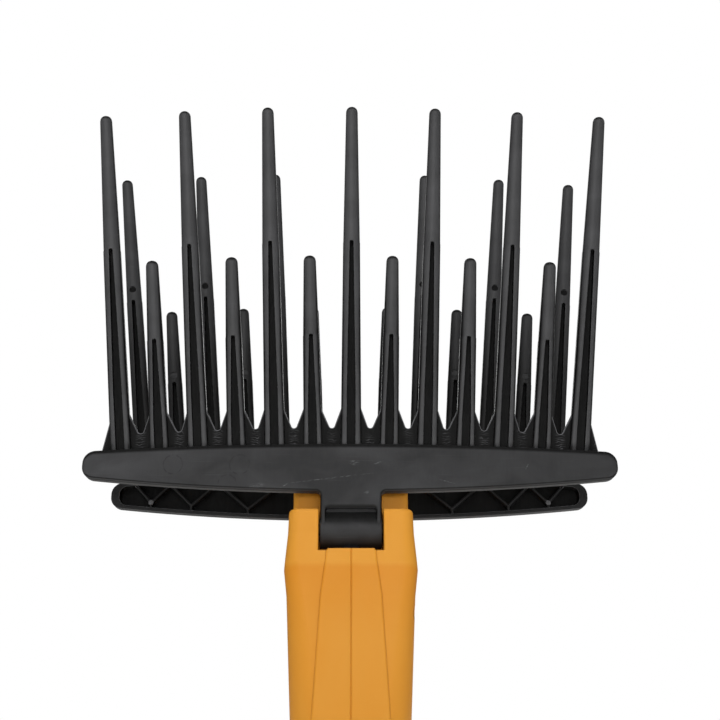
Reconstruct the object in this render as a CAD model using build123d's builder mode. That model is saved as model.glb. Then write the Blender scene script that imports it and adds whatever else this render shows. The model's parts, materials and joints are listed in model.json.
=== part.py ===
from build123d import *

import os
from math import acos, cos, pi, radians, sin, sqrt, tan

os.makedirs("parts", exist_ok=True)

# Frame: the origin is the centre of the pole socket's mouth, Z runs up along the tines,
# X runs along the combs, and the front comb stands on the -Y side. All sizes are millimetres.

# Hinges of the two combs
HINGE_Z = 230.0            # height of both hinge axes above the socket's mouth
HINGE_Y = 38.0             # distance of each hinge axis from the mid-plane
PIN_R = 4.0
PIN_HALF = 34.0            # half the hinge pin's length
BARREL_R = 12.25
BARREL_HALF = 20.3         # half the barrel's width
BUSH_R = 6.0
BUSH_LENGTH = 12.0
BUSH_FLANGE_R = 8.0
BUSH_FLANGE = 1.4
FLANGE_SEAT = 1.0          # depth of the seat for a bush flange in the barrel's end
PIN_CHAMFER = 0.6
RUNNING = 0.04             # radial clearance of a running fit

# Comb: tines
TINE_PITCH = 25.8          # spacing of the roots along the bar
OUTER_TINE = 6             # number of the outermost tine, counted from the middle one
FAN_ANGLE = 7.6            # lean of the outermost tine
ROOT_DROP = 4.9            # how far the outermost root lies below the middle one
ROOT_Z = HINGE_Z + 58.1    # height of the middle root
TINE_Y = 44.0              # distance of the roots from the mid-plane
TINE_TILT = 1.0            # lean of all the tines away from the mid-plane
LONG_TINE = 266.0
SHORT_TINE = 140.3
TIP_R = 4.3
TIP_RISE = 3.2             # height of the flattened dome on each tip
DOME_R = (TIP_R**2 + TIP_RISE**2) / (2 * TIP_RISE)
SHOULDER_R = 5.3           # radius of the round upper part where the grooves end
ROOT_WIDTH = 12.4
ROOT_DEPTH = 7.6
ROOT_SHIFT = 0.6           # how far the root's middle lies towards the outer side
ROOT_CORNER = 1.7
GROOVED_WIDTH = 11.0       # width of the grooved part at its upper end
GROOVED_FLAT = 0.6         # half the flat left between its round corners
GROOVE_SHARE = 0.555       # part of the tine's length that is grooved
GROOVE_TOP_WIDTH = 2.2
GROOVE_ROOT_WIDTH = 5.8
GROOVE_TAPER_SHARE = 0.26  # part of the grooved length with grooves of constant width
TINE_WEB = 3.2             # thickness left between the two grooves
GROOVE_END_R = 1.0
ROOT_SINK = 9.0            # how far a tine runs down into the bar
EJECTOR_R = 2.4            # round mark of an ejector pin on the inner side
EJECTOR_DEPTH = 0.8
EJECTOR_RISE = 10.0        # height of the mark above the groove's end

# Comb: webs between the roots
WEB_THICKNESS = 3.2
WEB_RISE = 25.0            # height of a web where it leaves the tine
NOTCH_RISE = 7.2           # height of the notch's point before it is rounded
NOTCH_R = 1.8
END_WEB_RISE = 21.0
END_WEB_REACH = 13.2       # reach of the small web outside the outermost tine
WEB_SINK = 1.0             # how far a web runs into the tine's side

# Comb: bar and neck
BAR_HALF = 178.6
BAR_INNER = 41.0           # distance of the open inner side from the mid-plane
BAR_OUTER = 50.0           # distance of the outer face from the mid-plane
BAR_TOP_MIDDLE = ROOT_Z - 1.7
BAR_TOP_END = ROOT_Z - 7.9
BAR_BOTTOM_MIDDLE = ROOT_Z - 34.5
BAR_BOTTOM_END = ROOT_Z - 25.4
BAR_CORNER = 8.4
BAR_EDGE = 2.6             # rounding of the outer face's edge
BAR_RIM = 2.6              # wall of the bar's rim
BAR_END_RIM = 7.2          # wall at the bar's ends
HOLLOW_CORNER = 6.0        # rounding of the hollow's ends
BAR_FACE = 2.6             # wall of the bar's outer face
RIB = 2.2
RIB_SETBACK = 1.2          # ribs stop this far short of the rim
RIB_NODES = (0.0, 24.0, 50.0, 76.5, 100.0, 119.0, 135.5, 149.2, 161.0)
RIB_FOOT = 3.8             # short upright under each lower node
NODE_BOSS_R = 2.1          # round boss on the outermost lower nodes
NECK_FILLET = 3.2
NECK_TOP = ROOT_Z - 20.0
NECK_RISE = 27.0           # how far above the hinge the neck leaves the bar's inner side
NECK_BACK_ANGLE = radians(62.0)   # where the neck's back meets the barrel, from the vertical
NECK_LIP = HINGE_Z + 15.6  # upper edge of the recess in the neck
NECK_CHEEK = 3.6           # width of the cheek on each side of the recess
RECESS_BACK = 41.5         # distance of the recess's back from the mid-plane
RECESS_CORNER = 2.5

# Drive arm moulded into each barrel
ARM_HALF = 5.0             # half the arm's thickness
ARM_HUB_R = 9.8
ARM_TAIL_HALF = 5.2        # half the tail's width below the barrel
ARM_END_R = 6.4
ARM_REACH = 30.0           # from the hinge axis down to the yoke pin
PIN_SLOT_CLEARANCE = 0.15
PIN_SLOT_EXTRA = 0.8       # extra length of the slot along the arm
ARM_BORE_PLAY = 0.6        # room between the arm and the hinge pin

# Yokes and their guides
YOKE_PIN_R = 3.0
YOKE_PIN_Z = HINGE_Z - ARM_REACH
YOKE_THICKNESS = 5.5
YOKE_GAP = 3.0             # space between the two yoke plates
YOKE_HALF = 22.5
YOKE_RING = 17.0           # half the ring part's length along the travel
CLEVIS_HALF = 11.0
CLEVIS_GAP_HALF = 5.8
CLEVIS_END = 43.5
CLEVIS_ROOT = 30.0
CLEVIS_HEIGHT = 12.0
RAIL_INNER = 20.8
RAIL_OUTER = 27.0
RAIL_HALF = 24.0           # half the rail's length
GUIDE_PLAY = 0.4
GUIDE_LIFT = 0.25
YOKE_CORNER = 3.0
YOKE_SLOT_CORNER = 4.0
RAIL_SCREW_X = 24.9
RAIL_SCREW_Y = 10.0
RAIL_SCREW_HEAD_R = 3.5
RAIL_SCREW_HEAD = 2.6
RAIL_SCREW_GRIP = 5.0      # how far a rail screw runs into the deck
BRIDGE_DEPTH = 28.0
BRIDGE_PLATE = 4.0
BRIDGE_CORNER = 4.0
BEARING_WALL = 3.0         # wall round the upper bearing
BEARING_LEDGE = 2.0        # ledge under the upper bearing

# Crank
THROW = 3.22               # eccentricity of each eccentric
SHAFT_R = 4.0
ECCENTRIC_R = 8.5
ECCENTRIC_HUB_R = 5.2
ROLLER_R = 11.5            # outside radius of the eccentric bearings
YOKE_SLOT_PLAY = 0.55      # room on each side of a roller, along the yoke's travel
YOKE_SLOT_END = 0.8        # room at the ends of the slot
SHAFT_BEARING_R = 11.0
SHAFT_BEARING_WIDTH = 7.0
SHIELD_SETBACK = 0.4       # how far a bearing's shields lie behind its faces
SHAFT_CHAMFER = 0.5

# Reduction gear
MODULE = 1.1
SUN_TEETH = 15
PLANET_TEETH = 15
RING_TEETH = 45
PLANET_COUNT = 3
PRESSURE_ANGLE = radians(20.0)
BACKLASH = 0.28            # thinning of each tooth at the pitch circle
ADDENDUM = 0.85 * MODULE
DEDENDUM = 1.25 * MODULE
PLANET_ORBIT = MODULE * (SUN_TEETH + PLANET_TEETH) / 2
PLANET_PIN_R = 3.0
PLANET_HEAD_R = 4.5
RING_R = 28.5
CASE_R = 31.0
CARRIER_R = 22.0
CARRIER_HUB_R = 8.0
CARRIER_PLAY = 1.0
GEAR_WIDTH = 12.0
PLANET_HEAD = 1.4
PLANET_END_PLAY = 0.4
CASE_LUG_R = 4.0
LID_SCREW_R = 1.5
LID_SCREW_HEAD_R = 2.8
LID_SCREW_HEAD = 2.4
LID_SCREW_GRIP = 8.0       # how far a lid screw runs into the case
LID_SPIGOT = 2.2           # wall of the ring that presses on the ring gear
RING_LEDGE = 2.0           # ledge under the ring gear

# Motor
MOTOR_R = 21.0
MOTOR_WALL = 1.6
MOTOR_BOSS_R = 8.8
MOTOR_BOSS = 4.0
MOTOR_SHAFT_R = 2.5
MOTOR_SHAFT_PLAY = 1.5
MOTOR_SHAFT_FOOT = 2.0     # how far the shaft runs into the end cap
MAGNET_INNER_R = 16.4
MAGNET_ANGLE = 130.0
MAGNET_LIFT = 12.0
MAGNET_LENGTH = 44.0
ARMATURE_R = 15.6
ARMATURE_LIFT = 14.0
ARMATURE_LENGTH = 40.0
ARMATURE_SLOTS = 5
ARMATURE_SLOT_WIDTH = 2.4
ARMATURE_SLOT_DEPTH = 4.5
COMMUTATOR_R = 7.0
COMMUTATOR_LIFT = 2.0
COMMUTATOR_LENGTH = 9.0
CAP_HEIGHT = 6.0
CAP_EDGE = 3.0
MOTOR_SCREW_X = 14.5
MOTOR_SCREW_R = 1.95
MOTOR_SCREW_LENGTH = 7.0
TERMINAL_X = 8.0
TERMINAL_THICKNESS = 0.8
TERMINAL_WIDTH = 6.3
TERMINAL_LENGTH = 7.0
LEAD_R = 1.1
LEAD_BEND_R = 2.4
LEAD_RISE = 3.0            # straight stretch of a lead above the connector
LEAD_SPREAD = 3.5          # height over which the leads spread to the terminals

# Pole socket
POLE_BORE_R = 17.6
SOCKET_R = 20.5
COLLAR_R = 26.0
COLLAR_HEIGHT = 5.0
SOCKET_TOP = 56.0
SOCKET_ROOF = 4.0
PLUG_HALF = 6.0
PLUG_BOTTOM = SOCKET_TOP - SOCKET_ROOF
PLUG_TOP = PLUG_BOTTOM + 14.0
PLUG_CORNER = 1.5
PLUG_POLE_X = 3.0          # distance of each contact from the plug's middle
PLUG_POLE_R = 1.6
PLUG_POLE_DEPTH = 8.0
COLLAR_CHAMFER = 1.0
CLAMP_SCREW_R = 2.5
CLAMP_SCREW_Z = 24.0
CLAMP_SCREW_LENGTH = 8.0
HEX_R = 1.45               # corner radius of the hexagon socket
HEX_DEPTH = 2.5

# Housing
WALL = 2.6
FORK_HALF = 21.3           # half the width of each fork
FORK_BACK = 24.5           # distance of each fork's back wall from the mid-plane
FORK_FLOOR = HINGE_Z - 16.0
ARM_WINDOW_X = 7.0
ARM_WINDOW_Y = 9.6
CORE_WIDTH = 78.5
CORE_TOP = HINGE_Z + 36.0
CORE_CORNER = 4.0
CORE_EDGE = 7.0
CORE_ROOT = HINGE_Z - 10.0
EAR_EDGE = 2.8             # rounding along the top of the ears
EAR_TOP = HINGE_Z + 12.0
SILL_LIP = 1.0             # how far the panel stands up over the fork's floor
SILL_LIP_DEPTH = 3.0
SILL_Y = 53.6              # distance of the panel's top edge from the mid-plane
PIN_BOSS_R = 8.5
SCREW_BOSS_R = 4.6
SCREW_R = 1.95
SCREW_HEAD_R = 4.0
SCREW_HEAD = 3.2
SCREW_SEAT_X = 12.0        # where the heads sit, measured from the seam
SCREW_END_X = -18.0
CRADLE = 3.0               # thickness of the cradle ribs
PANEL_RISE = 1.3           # height of the raised middle panel
PANEL_EDGE = 1.2           # rounding of the panel's long edges
FORK_EDGE = 0.9            # rounding of the fork's mouth
SEAM_DEPTH = 0.5           # depth of the groove along the seam
SEAT_PLAY = 0.05           # play of a part lying in its cradle
SCREW_HEAD_PLAY = 0.3
CLAMP_HOLE_PLAY = 0.5
BEYOND = 120.0             # length of a cut that runs right through

# Heights of the housing's sections with width, depth and corner radius. The sides are widest
# at the fifth section, and the front and rear faces break at the sixth.
HOUSING_SECTIONS = (
    (COLLAR_HEIGHT, 52.0, 52.0, 25.9),
    (66.0, 56.0, 56.0, 25.5),
    (106.0, 77.0, 84.0, 20.0),
    (HINGE_Z - 44.0, 83.0, 106.8, 11.0),
    (HINGE_Z - 28.0, 86.6, 109.4, 10.0),
    (HINGE_Z - 23.5, 85.9, 110.0, 9.5),
    (HINGE_Z - 4.0, 82.6, 104.0, 8.0),
    (EAR_TOP, 81.6, 102.6, 7.0),
)
# Half-widths of the raised panel at the same heights, from the second section up to the fork's sill
PANEL_HALVES = (15.0, 25.0, 19.6, 17.4, 16.6, 15.2)

# Cradle ribs inside the housing: height and radius of the part that lies in them
CRADLES = ((96.0, MOTOR_R), (138.0, MOTOR_R), (160.0, CASE_R), (172.0, CASE_R))

# Screws through the housing: place along Y and height
HOUSING_SCREWS = (
    (0.0, HINGE_Z + 13.0),
    (41.0, HINGE_Z - 54.0),
    (-41.0, HINGE_Z - 54.0),
    (31.0, HINGE_Z - 126.0),
    (-31.0, HINGE_Z - 126.0),
)

# Heights inside the drive, from the motor up
MOTOR_BOTTOM = 88.0
MOTOR_TOP = 152.0
CAP_BOTTOM = MOTOR_BOTTOM - CAP_HEIGHT
CASE_FLOOR = MOTOR_TOP + 5.0
RING_BOTTOM = CASE_FLOOR + 1.0
RING_TOP = RING_BOTTOM + 16.0
PLANET_BOTTOM = RING_BOTTOM + 2.0
PLANET_TOP = PLANET_BOTTOM + GEAR_WIDTH
CARRIER_BOTTOM = PLANET_TOP + 1.0
CARRIER_TOP = CARRIER_BOTTOM + 4.0
LID_BOTTOM = RING_TOP + 4.0
LID_FLANGE_TOP = LID_BOTTOM + 6.0
LOWER_BEARING = LID_FLANGE_TOP
DECK_TOP = LOWER_BEARING + SHAFT_BEARING_WIDTH + 0.5
REAR_YOKE_BOTTOM = YOKE_PIN_Z - YOKE_GAP / 2 - YOKE_THICKNESS
FRONT_YOKE_BOTTOM = YOKE_PIN_Z + YOKE_GAP / 2
RAIL_TOP = FRONT_YOKE_BOTTOM + YOKE_THICKNESS + 2.0
BRIDGE_TOP = RAIL_TOP + 8.0
UPPER_BEARING = BRIDGE_TOP - SHAFT_BEARING_WIDTH
SHAFT_BOTTOM = CARRIER_BOTTOM + 1.5
SUN_BOTTOM = RING_BOTTOM + 1.0
CARRIER_STEP = LOWER_BEARING - 0.5

SAME_PLACE = 0.1           # places closer than this count as one when edges are picked
ALONG_X = (0, 90, 0)
BOTTOM = (Align.CENTER, Align.CENTER, Align.MIN)
TOP = (Align.CENTER, Align.CENTER, Align.MAX)


def save(piece, name):
    """Label a finished piece and write it under its own name."""
    piece.label = name
    export_step(piece, f"parts/{name}.step")


def turned_about(piece):
    """The same piece turned half round about Z, as the rear copy of a front piece."""
    with BuildPart() as copy:
        add(piece, rotation=(0, 0, 180))
    return copy.part


# Comb

def tine_axis(number):
    """Root point and lean of one tine in the plane of the row, measured from the middle root."""
    share = number / OUTER_TINE
    return number * TINE_PITCH, -ROOT_DROP * share**2, FAN_ANGLE * share


def beside_tine(number, across, up):
    """A point in the plane of the row, measured across and up from one tine's root."""
    root_x, root_z, lean = tine_axis(number)
    turn = radians(lean)
    return root_x + up * sin(turn) + across * cos(turn), root_z + up * cos(turn) - across * sin(turn)


def make_tine(length):
    """One tine on the origin: grooved lower part, round upper part and a domed tip."""
    shoulder = length * GROOVE_SHARE
    taper_start = shoulder * GROOVE_TAPER_SHARE
    with BuildPart() as tine:
        with BuildSketch(Plane.XY.offset(-ROOT_SINK)):
            with Locations((0, -ROOT_SHIFT)):
                RectangleRounded(ROOT_WIDTH, ROOT_DEPTH, ROOT_CORNER)
        with BuildSketch(Plane.XY.offset(shoulder - SHOULDER_R)):
            RectangleRounded(GROOVED_WIDTH, 2 * SHOULDER_R, SHOULDER_R - GROOVED_FLAT)
        loft(ruled=True)
        with BuildSketch(Plane.XZ):
            with BuildLine():
                Polyline((0, shoulder - 2 * SHOULDER_R), (SHOULDER_R, shoulder - 2 * SHOULDER_R),
                         (SHOULDER_R, shoulder), (TIP_R, length - TIP_RISE))
                RadiusArc((TIP_R, length - TIP_RISE), (0, length), -DOME_R)
                Line((0, length), (0, shoulder - 2 * SHOULDER_R))
            make_face()
        revolve(axis=Axis.Z)
        for side in (-1, 1):
            with BuildSketch(Plane.XZ.offset(side * TINE_WEB / 2)) as groove:
                with BuildLine():
                    Polyline((-GROOVE_ROOT_WIDTH / 2, 0), (GROOVE_ROOT_WIDTH / 2, 0),
                             (GROOVE_ROOT_WIDTH / 2, taper_start), (GROOVE_TOP_WIDTH / 2, shoulder),
                             (-GROOVE_TOP_WIDTH / 2, shoulder), (-GROOVE_ROOT_WIDTH / 2, taper_start),
                             close=True)
                make_face()
                fillet(groove.vertices().group_by(Axis.Y)[-1], GROOVE_END_R)
            extrude(amount=side * ROOT_DEPTH, mode=Mode.SUBTRACT)
        with BuildSketch(Plane.XZ.offset(EJECTOR_DEPTH - SHOULDER_R)):
            with Locations((0, shoulder + EJECTOR_RISE)):
                Circle(EJECTOR_R)
        extrude(amount=-SHOULDER_R, mode=Mode.SUBTRACT)
    return tine.part


def bar_edge_heights(x):
    """Heights of the bar's lower and upper edge at a distance from the middle."""
    share = (x / BAR_HALF)**2
    lower = BAR_BOTTOM_MIDDLE + (BAR_BOTTOM_END - BAR_BOTTOM_MIDDLE) * share
    upper = BAR_TOP_MIDDLE + (BAR_TOP_END - BAR_TOP_MIDDLE) * share
    return lower, upper


def bar_outline(rim, end_rim, corner):
    """Boat-shaped outline of the bar, drawn smaller by a rim along its edges and at its ends."""
    half = BAR_HALF - end_rim
    lower_end, upper_end = bar_edge_heights(half)
    with BuildSketch() as outline:
        with BuildLine():
            ThreePointArc((-half, upper_end - rim), (0, BAR_TOP_MIDDLE - rim), (half, upper_end - rim))
            Line((half, upper_end - rim), (half, lower_end + rim))
            ThreePointArc((half, lower_end + rim), (0, BAR_BOTTOM_MIDDLE + rim), (-half, lower_end + rim))
            Line((-half, lower_end + rim), (-half, upper_end - rim))
        make_face()
        fillet(outline.vertices(), corner)
    return outline.sketch


def web_outline():
    """Webs between all the tine roots, with a rounded notch in each gap."""
    first = -OUTER_TINE
    toe = BAR_TOP_END - ROOT_Z
    tine_side = ROOT_WIDTH / 2 - WEB_SINK
    toe_x = OUTER_TINE * TINE_PITCH + END_WEB_REACH
    points = [(-toe_x, toe), beside_tine(first, -tine_side, END_WEB_RISE)]
    for number in range(first, OUTER_TINE):
        points.append(beside_tine(number, tine_side, WEB_RISE))
        points.append(((number + 0.5) * TINE_PITCH, beside_tine(number + 0.5, 0, NOTCH_RISE)[1]))
        points.append(beside_tine(number + 1, -tine_side, WEB_RISE))
    points.append(beside_tine(OUTER_TINE, tine_side, END_WEB_RISE))
    points += [(toe_x, toe), (toe_x, toe - BAR_RIM / 2), (-toe_x, toe - BAR_RIM / 2)]
    with BuildSketch() as webs:
        with BuildLine():
            Polyline(*points, close=True)
        make_face()
        notches = webs.vertices().filter_by(
            lambda corner: any(abs(corner.X - (number + 0.5) * TINE_PITCH) < SAME_PLACE
                               for number in range(first, OUTER_TINE)))
        fillet(notches, NOTCH_R)
    return webs.sketch


def make_tine_row():
    """Tines, long and short in turn, each leaning a little further outwards, with their webs."""
    long_tine = make_tine(LONG_TINE)
    short_tine = make_tine(SHORT_TINE)
    with BuildPart() as row:
        for number in range(-OUTER_TINE, OUTER_TINE + 1):
            root_x, root_z, lean = tine_axis(number)
            with Locations(Location((root_x, 0, root_z), (0, lean, 0))):
                add(long_tine if number % 2 == 0 else short_tine)
        with BuildSketch(Plane.XZ):
            add(web_outline())
        extrude(amount=WEB_THICKNESS / 2, both=True)
    return row.part


with BuildPart() as front_comb:
    # Bar and neck, rounded along the outer face; the neck runs down flush into the barrel
    with BuildSketch(Plane.XZ.offset(BAR_INNER)) as face_outline:
        add(bar_outline(0, 0, BAR_CORNER))
        with Locations((0, HINGE_Z)):
            Rectangle(2 * BARREL_HALF, NECK_TOP - HINGE_Z, align=(Align.CENTER, Align.MIN))
        neck_corners = face_outline.vertices().filter_by(
            lambda corner: abs(abs(corner.X) - BARREL_HALF) < SAME_PLACE and corner.Y > HINGE_Z + SAME_PLACE)
        fillet(neck_corners, NECK_FILLET)
    extrude(amount=BAR_OUTER - BAR_INNER)
    fillet(front_comb.faces().sort_by(Axis.Y)[0].edges(), BAR_EDGE)
    barrel_back = (-HINGE_Y + BARREL_R * sin(NECK_BACK_ANGLE), HINGE_Z + BARREL_R * cos(NECK_BACK_ANGLE))
    with BuildSketch(Plane.YZ):
        with BuildLine():
            Polyline((-BAR_INNER, HINGE_Z), (-BAR_INNER, HINGE_Z + NECK_RISE), barrel_back,
                     (-HINGE_Y, HINGE_Z), close=True)
        make_face()
    extrude(amount=BARREL_HALF, both=True)
    with BuildSketch(Plane.XZ.offset(RECESS_BACK)) as recess:
        with Locations((0, NECK_LIP)):
            Rectangle(2 * (BARREL_HALF - NECK_CHEEK), NECK_LIP - HINGE_Z, align=(Align.CENTER, Align.MAX))
        fillet(recess.vertices().group_by(Axis.Y)[-1], RECESS_CORNER)
    extrude(amount=BAR_OUTER - RECESS_BACK, mode=Mode.SUBTRACT)
    with Locations(Location((0, -TINE_Y, ROOT_Z), (TINE_TILT, 0, 0))):
        add(make_tine_row())
    # Open inner side of the bar with its zigzag of ribs
    with BuildSketch(Plane.XZ.offset(BAR_INNER)):
        add(bar_outline(BAR_RIM, BAR_END_RIM, HOLLOW_CORNER))
    extrude(amount=BAR_OUTER - BAR_INNER - BAR_FACE, mode=Mode.SUBTRACT)
    rib_depth = BAR_OUTER - BAR_INNER - RIB_SETBACK - BAR_FACE / 2
    zigzag = []
    for place, x in enumerate(RIB_NODES):
        lower, upper = bar_edge_heights(x)
        zigzag.append((x, upper - BAR_RIM if place % 2 == 0 else lower + BAR_RIM + RIB_FOOT))
    zigzag = [(-x, z) for x, z in reversed(zigzag[1:])] + zigzag
    with BuildSketch(Plane.XZ.offset(BAR_INNER + RIB_SETBACK)):
        with BuildLine():
            Polyline(*zigzag)
        trace(line_width=RIB)
        with Locations(*zigzag[1::2]):
            Rectangle(RIB, RIB_FOOT + BAR_RIM / 2, align=(Align.CENTER, Align.MAX))
        with Locations(zigzag[1], zigzag[-2]):
            Circle(NODE_BOSS_R)
    extrude(amount=rib_depth)
    # Hinge barrel with its stepped bore and the pocket of the moulded-in arm
    with Locations(Location((0, -HINGE_Y, HINGE_Z), ALONG_X)):
        Cylinder(BARREL_R, 2 * BARREL_HALF)
        Cylinder(BUSH_R, 2 * BARREL_HALF, mode=Mode.SUBTRACT)
        Cylinder(ARM_HUB_R, 2 * ARM_HALF, mode=Mode.SUBTRACT)
    for side in (-1, 1):
        with Locations(Location((side * BARREL_HALF, -HINGE_Y, HINGE_Z), ALONG_X)):
            Cylinder(BUSH_FLANGE_R, 2 * FLANGE_SEAT, mode=Mode.SUBTRACT)
    with Locations((0, -HINGE_Y, HINGE_Z)):
        Box(2 * ARM_HALF, 2 * ARM_TAIL_HALF, 2 * BARREL_R,
            align=(Align.CENTER, Align.CENTER, Align.MAX), mode=Mode.SUBTRACT)
save(front_comb.part, "front_comb")
save(turned_about(front_comb.part), "rear_comb")

# Drive arm: a hub inside the barrel and a tail with the slot for the yoke pin
with BuildPart() as front_drive_arm:
    with BuildSketch(Plane.YZ):
        with Locations((-HINGE_Y, HINGE_Z)):
            Circle(ARM_HUB_R)
            Rectangle(2 * ARM_TAIL_HALF, ARM_REACH, align=(Align.CENTER, Align.MAX))
        with Locations((-HINGE_Y, YOKE_PIN_Z)):
            Circle(ARM_END_R)
            SlotCenterToCenter(PIN_SLOT_EXTRA, 2 * (YOKE_PIN_R + PIN_SLOT_CLEARANCE), rotation=90,
                               mode=Mode.SUBTRACT)
        with Locations((-HINGE_Y, HINGE_Z)):
            Circle(PIN_R + ARM_BORE_PLAY, mode=Mode.SUBTRACT)
    extrude(amount=ARM_HALF, both=True)
save(front_drive_arm.part, "front_drive_arm")
save(turned_about(front_drive_arm.part), "rear_drive_arm")

# Flanged bushes at both ends of a barrel
with BuildPart() as front_hinge_bushes:
    for side in (-1, 1):
        with Locations(Location((side * BARREL_HALF, -HINGE_Y, HINGE_Z), (0, -90 * side, 0))):
            Cylinder(BUSH_R, FLANGE_SEAT + BUSH_LENGTH, align=BOTTOM)
        with Locations(Location((side * (BARREL_HALF - FLANGE_SEAT), -HINGE_Y, HINGE_Z),
                                (0, 90 * side, 0))):
            Cylinder(BUSH_FLANGE_R, BUSH_FLANGE, align=BOTTOM)
    with Locations(Location((0, -HINGE_Y, HINGE_Z), ALONG_X)):
        Cylinder(PIN_R + RUNNING, 4 * BARREL_HALF, mode=Mode.SUBTRACT)
save(front_hinge_bushes.part, "front_hinge_bushes")
save(turned_about(front_hinge_bushes.part), "rear_hinge_bushes")

# Hinge pin, held in blind bosses of the two housing halves
with BuildPart() as front_hinge_pin:
    with Locations(Location((0, -HINGE_Y, HINGE_Z), ALONG_X)):
        Cylinder(PIN_R, 2 * PIN_HALF)
    chamfer(front_hinge_pin.edges().filter_by(GeomType.CIRCLE), PIN_CHAMFER)
save(front_hinge_pin.part, "front_hinge_pin")
save(turned_about(front_hinge_pin.part), "rear_hinge_pin")


# Yokes

def make_yoke(bottom):
    """Sliding plate with a cross slot for its roller and a clevis for the front arm."""
    with BuildPart() as yoke:
        with BuildSketch(Plane.XY.offset(bottom)):
            RectangleRounded(2 * YOKE_HALF, 2 * YOKE_RING, YOKE_CORNER)
            with Locations((0, -YOKE_RING / 2)):
                Rectangle(2 * CLEVIS_HALF, CLEVIS_END - YOKE_RING / 2, align=(Align.CENTER, Align.MAX))
            RectangleRounded(2 * (ROLLER_R + THROW + YOKE_SLOT_END), 2 * (ROLLER_R + YOKE_SLOT_PLAY),
                             YOKE_SLOT_CORNER, mode=Mode.SUBTRACT)
        extrude(amount=YOKE_THICKNESS)
        with BuildSketch(Plane.YZ):
            with Locations((-CLEVIS_END, YOKE_PIN_Z)):
                RectangleRounded(CLEVIS_END - CLEVIS_ROOT, CLEVIS_HEIGHT, YOKE_CORNER,
                                 align=(Align.MIN, Align.CENTER))
        extrude(amount=CLEVIS_HALF, both=True)
        with Locations((0, -CLEVIS_ROOT, YOKE_PIN_Z)):
            Box(2 * CLEVIS_GAP_HALF, CLEVIS_END, 2 * CLEVIS_HEIGHT,
                align=(Align.CENTER, Align.MAX, Align.CENTER), mode=Mode.SUBTRACT)
        with Locations(Location((0, -HINGE_Y, YOKE_PIN_Z), ALONG_X)):
            Cylinder(YOKE_PIN_R, 4 * CLEVIS_HALF, mode=Mode.SUBTRACT)
    return yoke.part


save(make_yoke(FRONT_YOKE_BOTTOM), "front_yoke")
save(turned_about(make_yoke(REAR_YOKE_BOTTOM)), "rear_yoke")

with BuildPart() as front_yoke_pin:
    with Locations(Location((0, -HINGE_Y, YOKE_PIN_Z), ALONG_X)):
        Cylinder(YOKE_PIN_R, 2 * CLEVIS_HALF)
save(front_yoke_pin.part, "front_yoke_pin")
save(turned_about(front_yoke_pin.part), "rear_yoke_pin")

# Guide rails with one groove for each yoke plate
with BuildPart() as right_guide_rail:
    with BuildSketch(Plane.XZ):
        with Locations((RAIL_INNER, DECK_TOP)):
            Rectangle(RAIL_OUTER - RAIL_INNER, RAIL_TOP - DECK_TOP, align=(Align.MIN, Align.MIN))
        for bottom in (FRONT_YOKE_BOTTOM, REAR_YOKE_BOTTOM):
            with Locations((RAIL_INNER, bottom - GUIDE_LIFT)):
                Rectangle(YOKE_HALF + GUIDE_PLAY - RAIL_INNER, YOKE_THICKNESS + 2 * GUIDE_LIFT,
                          align=(Align.MIN, Align.MIN), mode=Mode.SUBTRACT)
    extrude(amount=RAIL_HALF, both=True)
    with Locations(*[(RAIL_SCREW_X, y, DECK_TOP) for y in (-RAIL_SCREW_Y, RAIL_SCREW_Y)]):
        Cylinder(SCREW_R + SEAT_PLAY, 2 * (RAIL_TOP - DECK_TOP), mode=Mode.SUBTRACT)
save(right_guide_rail.part, "right_guide_rail")
save(turned_about(right_guide_rail.part), "left_guide_rail")

# Bridge over the rails, with the seat of the upper bearing
RAIL_SCREWS = [(x, y) for x in (-RAIL_SCREW_X, RAIL_SCREW_X) for y in (-RAIL_SCREW_Y, RAIL_SCREW_Y)]
with BuildPart() as bearing_bridge:
    with BuildSketch(Plane.XY.offset(RAIL_TOP)):
        RectangleRounded(2 * RAIL_OUTER, BRIDGE_DEPTH, BRIDGE_CORNER)
    extrude(amount=BRIDGE_PLATE)
    with BuildSketch(Plane.XY.offset(RAIL_TOP)):
        Circle(SHAFT_BEARING_R + BEARING_WALL)
    extrude(amount=BRIDGE_TOP - RAIL_TOP)
    with Locations((0, 0, UPPER_BEARING)):
        Cylinder(SHAFT_BEARING_R, SHAFT_BEARING_WIDTH, align=BOTTOM, mode=Mode.SUBTRACT)
    with Locations((0, 0, RAIL_TOP)):
        Cylinder(SHAFT_BEARING_R - BEARING_LEDGE, BRIDGE_PLATE, align=BOTTOM, mode=Mode.SUBTRACT)
    with Locations(*[(x, y, RAIL_TOP) for x, y in RAIL_SCREWS]):
        Cylinder(SCREW_R + SEAT_PLAY, BEYOND, mode=Mode.SUBTRACT)
save(bearing_bridge.part, "bearing_bridge")

with BuildPart() as bridge_screws:
    with Locations(*[(x, y, RAIL_TOP + BRIDGE_PLATE) for x, y in RAIL_SCREWS]):
        Cylinder(RAIL_SCREW_HEAD_R, RAIL_SCREW_HEAD, align=BOTTOM)
        Cylinder(SCREW_R, RAIL_TOP + BRIDGE_PLATE - DECK_TOP + RAIL_SCREW_GRIP, align=TOP)
save(bridge_screws.part, "bridge_screws")


# Crank

def make_bearing(bore_r, outer_r, width, bottom, centre_x=0.0):
    """Ring of a shielded bearing, with its shields set back from both faces."""
    shield = (outer_r - bore_r) / 4
    with BuildPart() as bearing:
        with BuildSketch(Plane.XZ):
            with Locations(((bore_r + outer_r) / 2, bottom + width / 2)):
                Rectangle(outer_r - bore_r, width)
            for height in (bottom, bottom + width):
                with Locations(((bore_r + outer_r) / 2, height)):
                    Rectangle(outer_r - bore_r - 2 * shield, 2 * SHIELD_SETBACK, mode=Mode.SUBTRACT)
        revolve(axis=Axis.Z)
    with BuildPart() as placed:
        with Locations((centre_x, 0, 0)):
            add(bearing.part)
    return placed.part


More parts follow.
